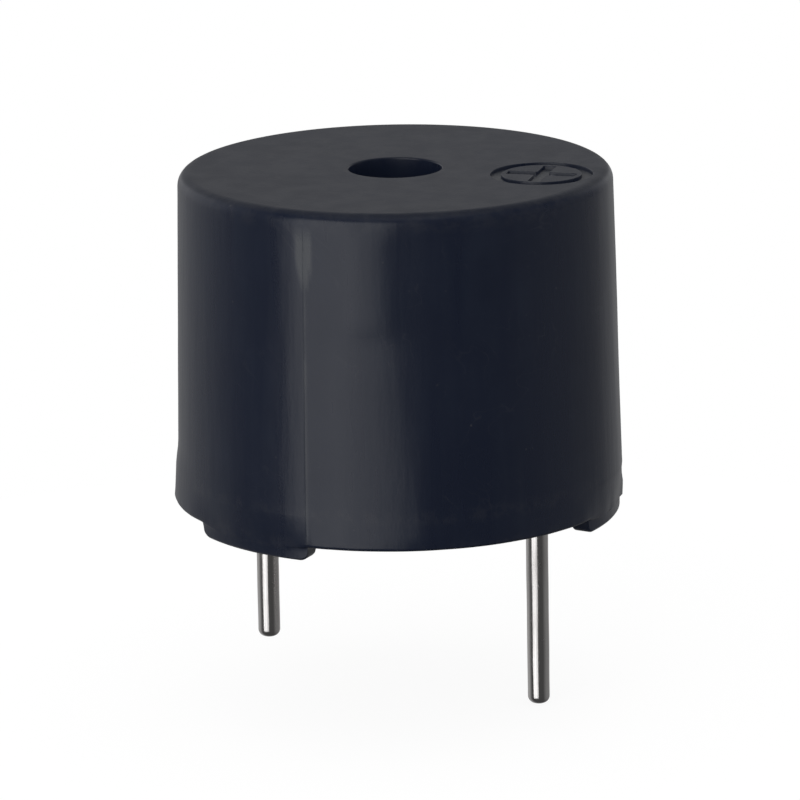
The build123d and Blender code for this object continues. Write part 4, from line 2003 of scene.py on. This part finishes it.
@dataclass
class Studio:
    """Pale floor, soft light and the camera."""

    azimuth: float = 15.3
    elevation: float = 14.05
    distance: float = 173.8
    centre_z: float = 4.4
    lens: float = 289.9
    drop: float = 1.39
    aside: float = 0.027
    roll: float = 0.98
    floor_radius: float = 24.0
    floor_sides: int = 128
    floor_glow: float = 1.06
    floor_share: float = 0.85
    lamp_distance: float = 0.35
    rear_wall: float = 203.0
    side_wall: float = 112.0
    lamps: tuple[Lamp, ...] = (
        Lamp("front_softbox", -31, 10, (0.37, 0.50), 0.92),
        Lamp("front_strip_a", -51, 10, (0.06, 0.50), 0.55),
        Lamp("front_strip_b", -32, 10, (0.075, 0.50), 0.4),
        Lamp("overhead_softbox", 0, 84, (0.30, 0.30), 0.25),
    )

    def direction(self, azimuth: float, elevation: float) -> Vector:
        """Return the unit vector at an azimuth from -Y towards +X and an elevation, in degrees."""
        a, e = math.radians(azimuth), math.radians(elevation)
        return Vector((math.sin(a) * math.cos(e), -math.cos(a) * math.cos(e), math.sin(e)))

    def camera(self) -> None:
        """Set up the camera."""
        data = bpy.data.cameras.new("camera")
        data.lens, data.sensor_width = self.lens, 36.0
        data.clip_start, data.clip_end = 0.005, 5.0
        camera = bpy.data.objects.new("camera", data)
        bpy.context.scene.collection.objects.link(camera)
        back = self.direction(self.azimuth, self.elevation)
        right = Vector((0, 0, 1)).cross(back).normalized()
        up = back.cross(right)
        middle = Vector((0, 0, self.centre_z))
        place = middle + back * self.distance
        aim = middle - up * self.drop + right * self.aside
        look = (aim - place).normalized()
        frame = look.to_track_quat("-Z", "Y").to_matrix().to_4x4()
        roll = Matrix.Rotation(math.radians(-self.roll), 4, "Z")
        camera.matrix_world = Matrix.Translation(place * MM) @ frame @ roll
        bpy.context.scene.camera = camera

    def floor(self, level: float) -> None:
        """Lay a pale round floor at a level, which keeps a soft shadow.

        Args:
            level: Height of the floor, in millimetres.
        """
        mesh = bpy.data.meshes.new("floor")
        rim = circle(0, 0, self.floor_radius, self.floor_sides)
        spots = [(x * MM, y * MM, level * MM) for x, y in rim]
        mesh.from_pydata(spots, [], [tuple(range(self.floor_sides))])
        floor = bpy.data.objects.new("floor", mesh)
        bpy.context.scene.collection.objects.link(floor)
        material = bpy.data.materials.new("Pale floor")
        material.use_nodes = True
        graph = Graph(material.node_tree)
        graph.tree.nodes.clear()
        diffuse = graph.add("ShaderNodeBsdfDiffuse")
        glow = graph.add("ShaderNodeEmission")
        glow.inputs["Strength"].default_value = self.floor_glow
        seen = graph.add("ShaderNodeLightPath").outputs["Is Camera Ray"]
        colour = graph.mix(seen, (0.25, 0.25, 0.25), (0.85, 0.85, 0.85))
        graph.feed(diffuse.inputs["Color"], colour)
        blend = graph.add("ShaderNodeMixShader")
        graph.feed(blend.inputs[0], graph.math("MULTIPLY", seen, self.floor_share))
        graph.feed(blend.inputs[1], diffuse.outputs[0])
        graph.feed(blend.inputs[2], glow.outputs[0])
        under = graph.add("ShaderNodeMixShader")
        graph.feed(under.inputs[0], graph.add("ShaderNodeNewGeometry").outputs["Backfacing"])
        graph.feed(under.inputs[1], blend.outputs[0])
        graph.feed(under.inputs[2], graph.add("ShaderNodeBsdfTransparent").outputs[0])
        graph.feed(graph.add("ShaderNodeOutputMaterial").inputs["Surface"], under.outputs[0])
        mesh.materials.append(material)
        floor.visible_glossy = False

    def world(self) -> None:
        """Light the room: white to the camera, and to the object a studio that is paler behind."""
        world = bpy.data.worlds.new("studio")
        bpy.context.scene.world = world
        world.use_nodes = True
        graph = Graph(world.node_tree)
        graph.tree.nodes.clear()
        way = graph.add("ShaderNodeTexCoord").outputs["Generated"]
        height = graph.add("ShaderNodeSeparateXYZ")
        graph.feed(height.inputs[0], way)
        up = height.outputs["Z"]
        rear = tuple(self.direction(self.azimuth + self.rear_wall, 4))
        behind = graph.vector("DOT_PRODUCT", way, rear).outputs["Value"]
        side = tuple(self.direction(self.azimuth + self.side_wall, 0))
        beside = graph.vector("DOT_PRODUCT", way, side).outputs["Value"]
        rise = graph.span(up, -0.22, 0.16, 0.29, 0.50)
        wall = graph.math("MULTIPLY", graph.span(behind, 0.1, 0.85), rise)
        faint = graph.math("MULTIPLY", graph.span(beside, 0.4, 1.0), 0.12)
        wall = graph.math("ADD", wall, faint)
        wall = graph.math("MULTIPLY", wall, graph.span(up, 0.45, 0.85, 1.0, 0.0))
        low = graph.span(up, -0.1, 0.05, 0.05, 0.01)
        paths = graph.add("ShaderNodeLightPath")
        room = graph.math("ADD", wall, low)
        open_room = graph.span(up, -0.15, 0.05, 0.25, 0.75)
        plain = graph.span(paths.outputs["Is Glossy Ray"], 0.0, 1.0, open_room, room)
        level = graph.span(paths.outputs["Is Camera Ray"], 0.0, 1.0, plain, 1.0)
        shade = graph.add("ShaderNodeBackground")
        shade.inputs["Color"].default_value = (1.0, 1.0, 1.0, 1.0)
        graph.feed(shade.inputs["Strength"], level)
        graph.feed(graph.add("ShaderNodeOutputWorld").inputs["Surface"], shade.outputs[0])

    def hang(self, lamp: Lamp) -> None:
        """Hang a soft lamp that faces the object.

        Args:
            lamp: What to hang.
        """
        width, height = lamp.size
        data = bpy.data.lights.new(lamp.name, "AREA")
        data.shape, data.size, data.size_y = "RECTANGLE", width, height
        data.energy = lamp.level * math.pi * width * height
        softbox = bpy.data.objects.new(lamp.name, data)
        bpy.context.scene.collection.objects.link(softbox)
        way = self.direction(self.azimuth + lamp.azimuth, lamp.elevation)
        softbox.location = way * self.lamp_distance
        softbox.rotation_euler = way.to_track_quat("Z", "Y").to_euler()
        softbox.visible_camera = False

    def build(self, lowest: float) -> None:
        """Set everything up, with the floor at the object's lowest point.

        Args:
            lowest: Height of the object's lowest point, in millimetres.
        """
        self.camera()
        self.floor(lowest)
        self.world()
        for lamp in self.lamps:
            self.hang(lamp)
        bpy.context.scene.view_settings.view_transform = "Standard"


def finishes(effects: Effects, pins: LeadPins, works: Works) -> dict[Stuff, bpy.types.Material]:
    """Build every finish.

    Args:
        effects: The shared surface effects.
        pins: Gives the places of the pads.
        works: Gives the places of the lead pads.

    Returns:
        The materials by the slot that they fill.
    """
    x = pins.pitch / 2
    pad = 0.98
    pads = ((x, 0.0, pad), (-x, 0.0, pad))
    right, left = (x, 0.0, 0.0), (-x, 0.0, 0.0)
    leads: list[Point] = [(u, v, 0.0) for u, v, _ in works.lead_ends()]
    knee, bend = (1.6, 3.4, 0.0), (-2.3, -2.9, 0.0)
    tracks = (
        (right, knee),
        (knee, (0.0, 4.0, 0.0)),
        (left, bend),
        (bend, (-0.8, -2.9, 0.0)),
        ((0.8, -2.9, 0.0), leads[0]),
        (leads[1], (-0.95, 1.8, 0.0)),
    )
    made = {
        Stuff.HOUSING: MouldedPlastic(),
        Stuff.RING: MouldedPlastic(
            "Ring plastic",
            colour=(0.022, 0.022, 0.024),
            pale=(0.03, 0.03, 0.032),
            top_roughness=0.5,
            side_roughness=0.42,
            top_grain=0.004,
            side_grain=0.002,
            dust=0.3,
        ),
        Stuff.SPRING: Metal(
            "Spring alloy",
            colour=(0.60, 0.57, 0.52),
            dull=(0.44, 0.41, 0.36),
            roughness=0.3,
            lines=0.0003,
            line_scale=20.0,
        ),
        Stuff.IRON: Metal(
            "Plated iron",
            colour=(0.60, 0.60, 0.60),
            dull=(0.47, 0.46, 0.44),
            roughness=0.3,
            lines=0.0004,
            line_scale=16.0,
            grain=0.0012,
            grain_scale=10.0,
        ),
        Stuff.FERRITE: Mineral(
            "Ferrite",
            colour=(0.030, 0.029, 0.030),
            pale=(0.055, 0.053, 0.054),
            worn=(0.13, 0.125, 0.12),
            roughness=0.5,
            grain=0.004,
            grain_scale=16.0,
        ),
        Stuff.WIRE: EnamelledWire(),
        Stuff.BOARD: MaskedBoard(pads, tracks),
        Stuff.PIN: Metal(
            "Tinned pin",
            colour=(0.88, 0.86, 0.85),
            dull=(0.72, 0.69, 0.68),
            roughness=0.17,
            lines=0.0006,
            line_scale=26.0,
            grain=0.0005,
            grain_scale=9.0,
        ),
        Stuff.PACKAGE: Mineral(
            "Package resin",
            colour=(0.018, 0.018, 0.019),
            pale=(0.028, 0.028, 0.03),
            worn=(0.07, 0.07, 0.07),
            roughness=0.55,
        ),
        Stuff.CERAMIC: Mineral(
            "Chip glaze",
            colour=(0.02, 0.02, 0.022),
            pale=(0.035, 0.035, 0.037),
            worn=(0.6, 0.59, 0.56),
            roughness=0.25,
            grain=0.001,
            grain_scale=8.0,
            wear=0.3,
            coat=0.5,
        ),
        Stuff.SOLDER: Metal(
            "Solder",
            colour=(0.68, 0.67, 0.65),
            dull=(0.52, 0.51, 0.49),
            roughness=0.16,
            lines=0.0,
            line_scale=8.0,
            grain=0.0022,
            grain_scale=5.0,
            unevenness=0.2,
        ),
        Stuff.SEAL: Mineral(
            "Seal resin",
            colour=(0.012, 0.012, 0.014),
            pale=(0.02, 0.02, 0.023),
            worn=(0.04, 0.04, 0.045),
            roughness=0.2,
            grain=0.001,
            grain_scale=3.0,
            wear=0.4,
            coat=0.6,
        ),
    }
    return {stuff: finish.make(effects) for stuff, finish in made.items()}


def main() -> None:
    """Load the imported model, dress it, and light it."""
    logging.basicConfig(level=logging.INFO, format="%(message)s")
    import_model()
    pins, works = LeadPins(), Works()
    shop = Workshop(finishes(Effects(), pins, works))
    Housing().build(shop)
    pins.build(shop)
    DriveBoard(pins=pins).build(shop)
    works.build(shop)
    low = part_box("positive_pin")[0]
    Studio().build(low[2] / MM)
    log.info("all pieces made")


if __name__ == "__main__":
    main()
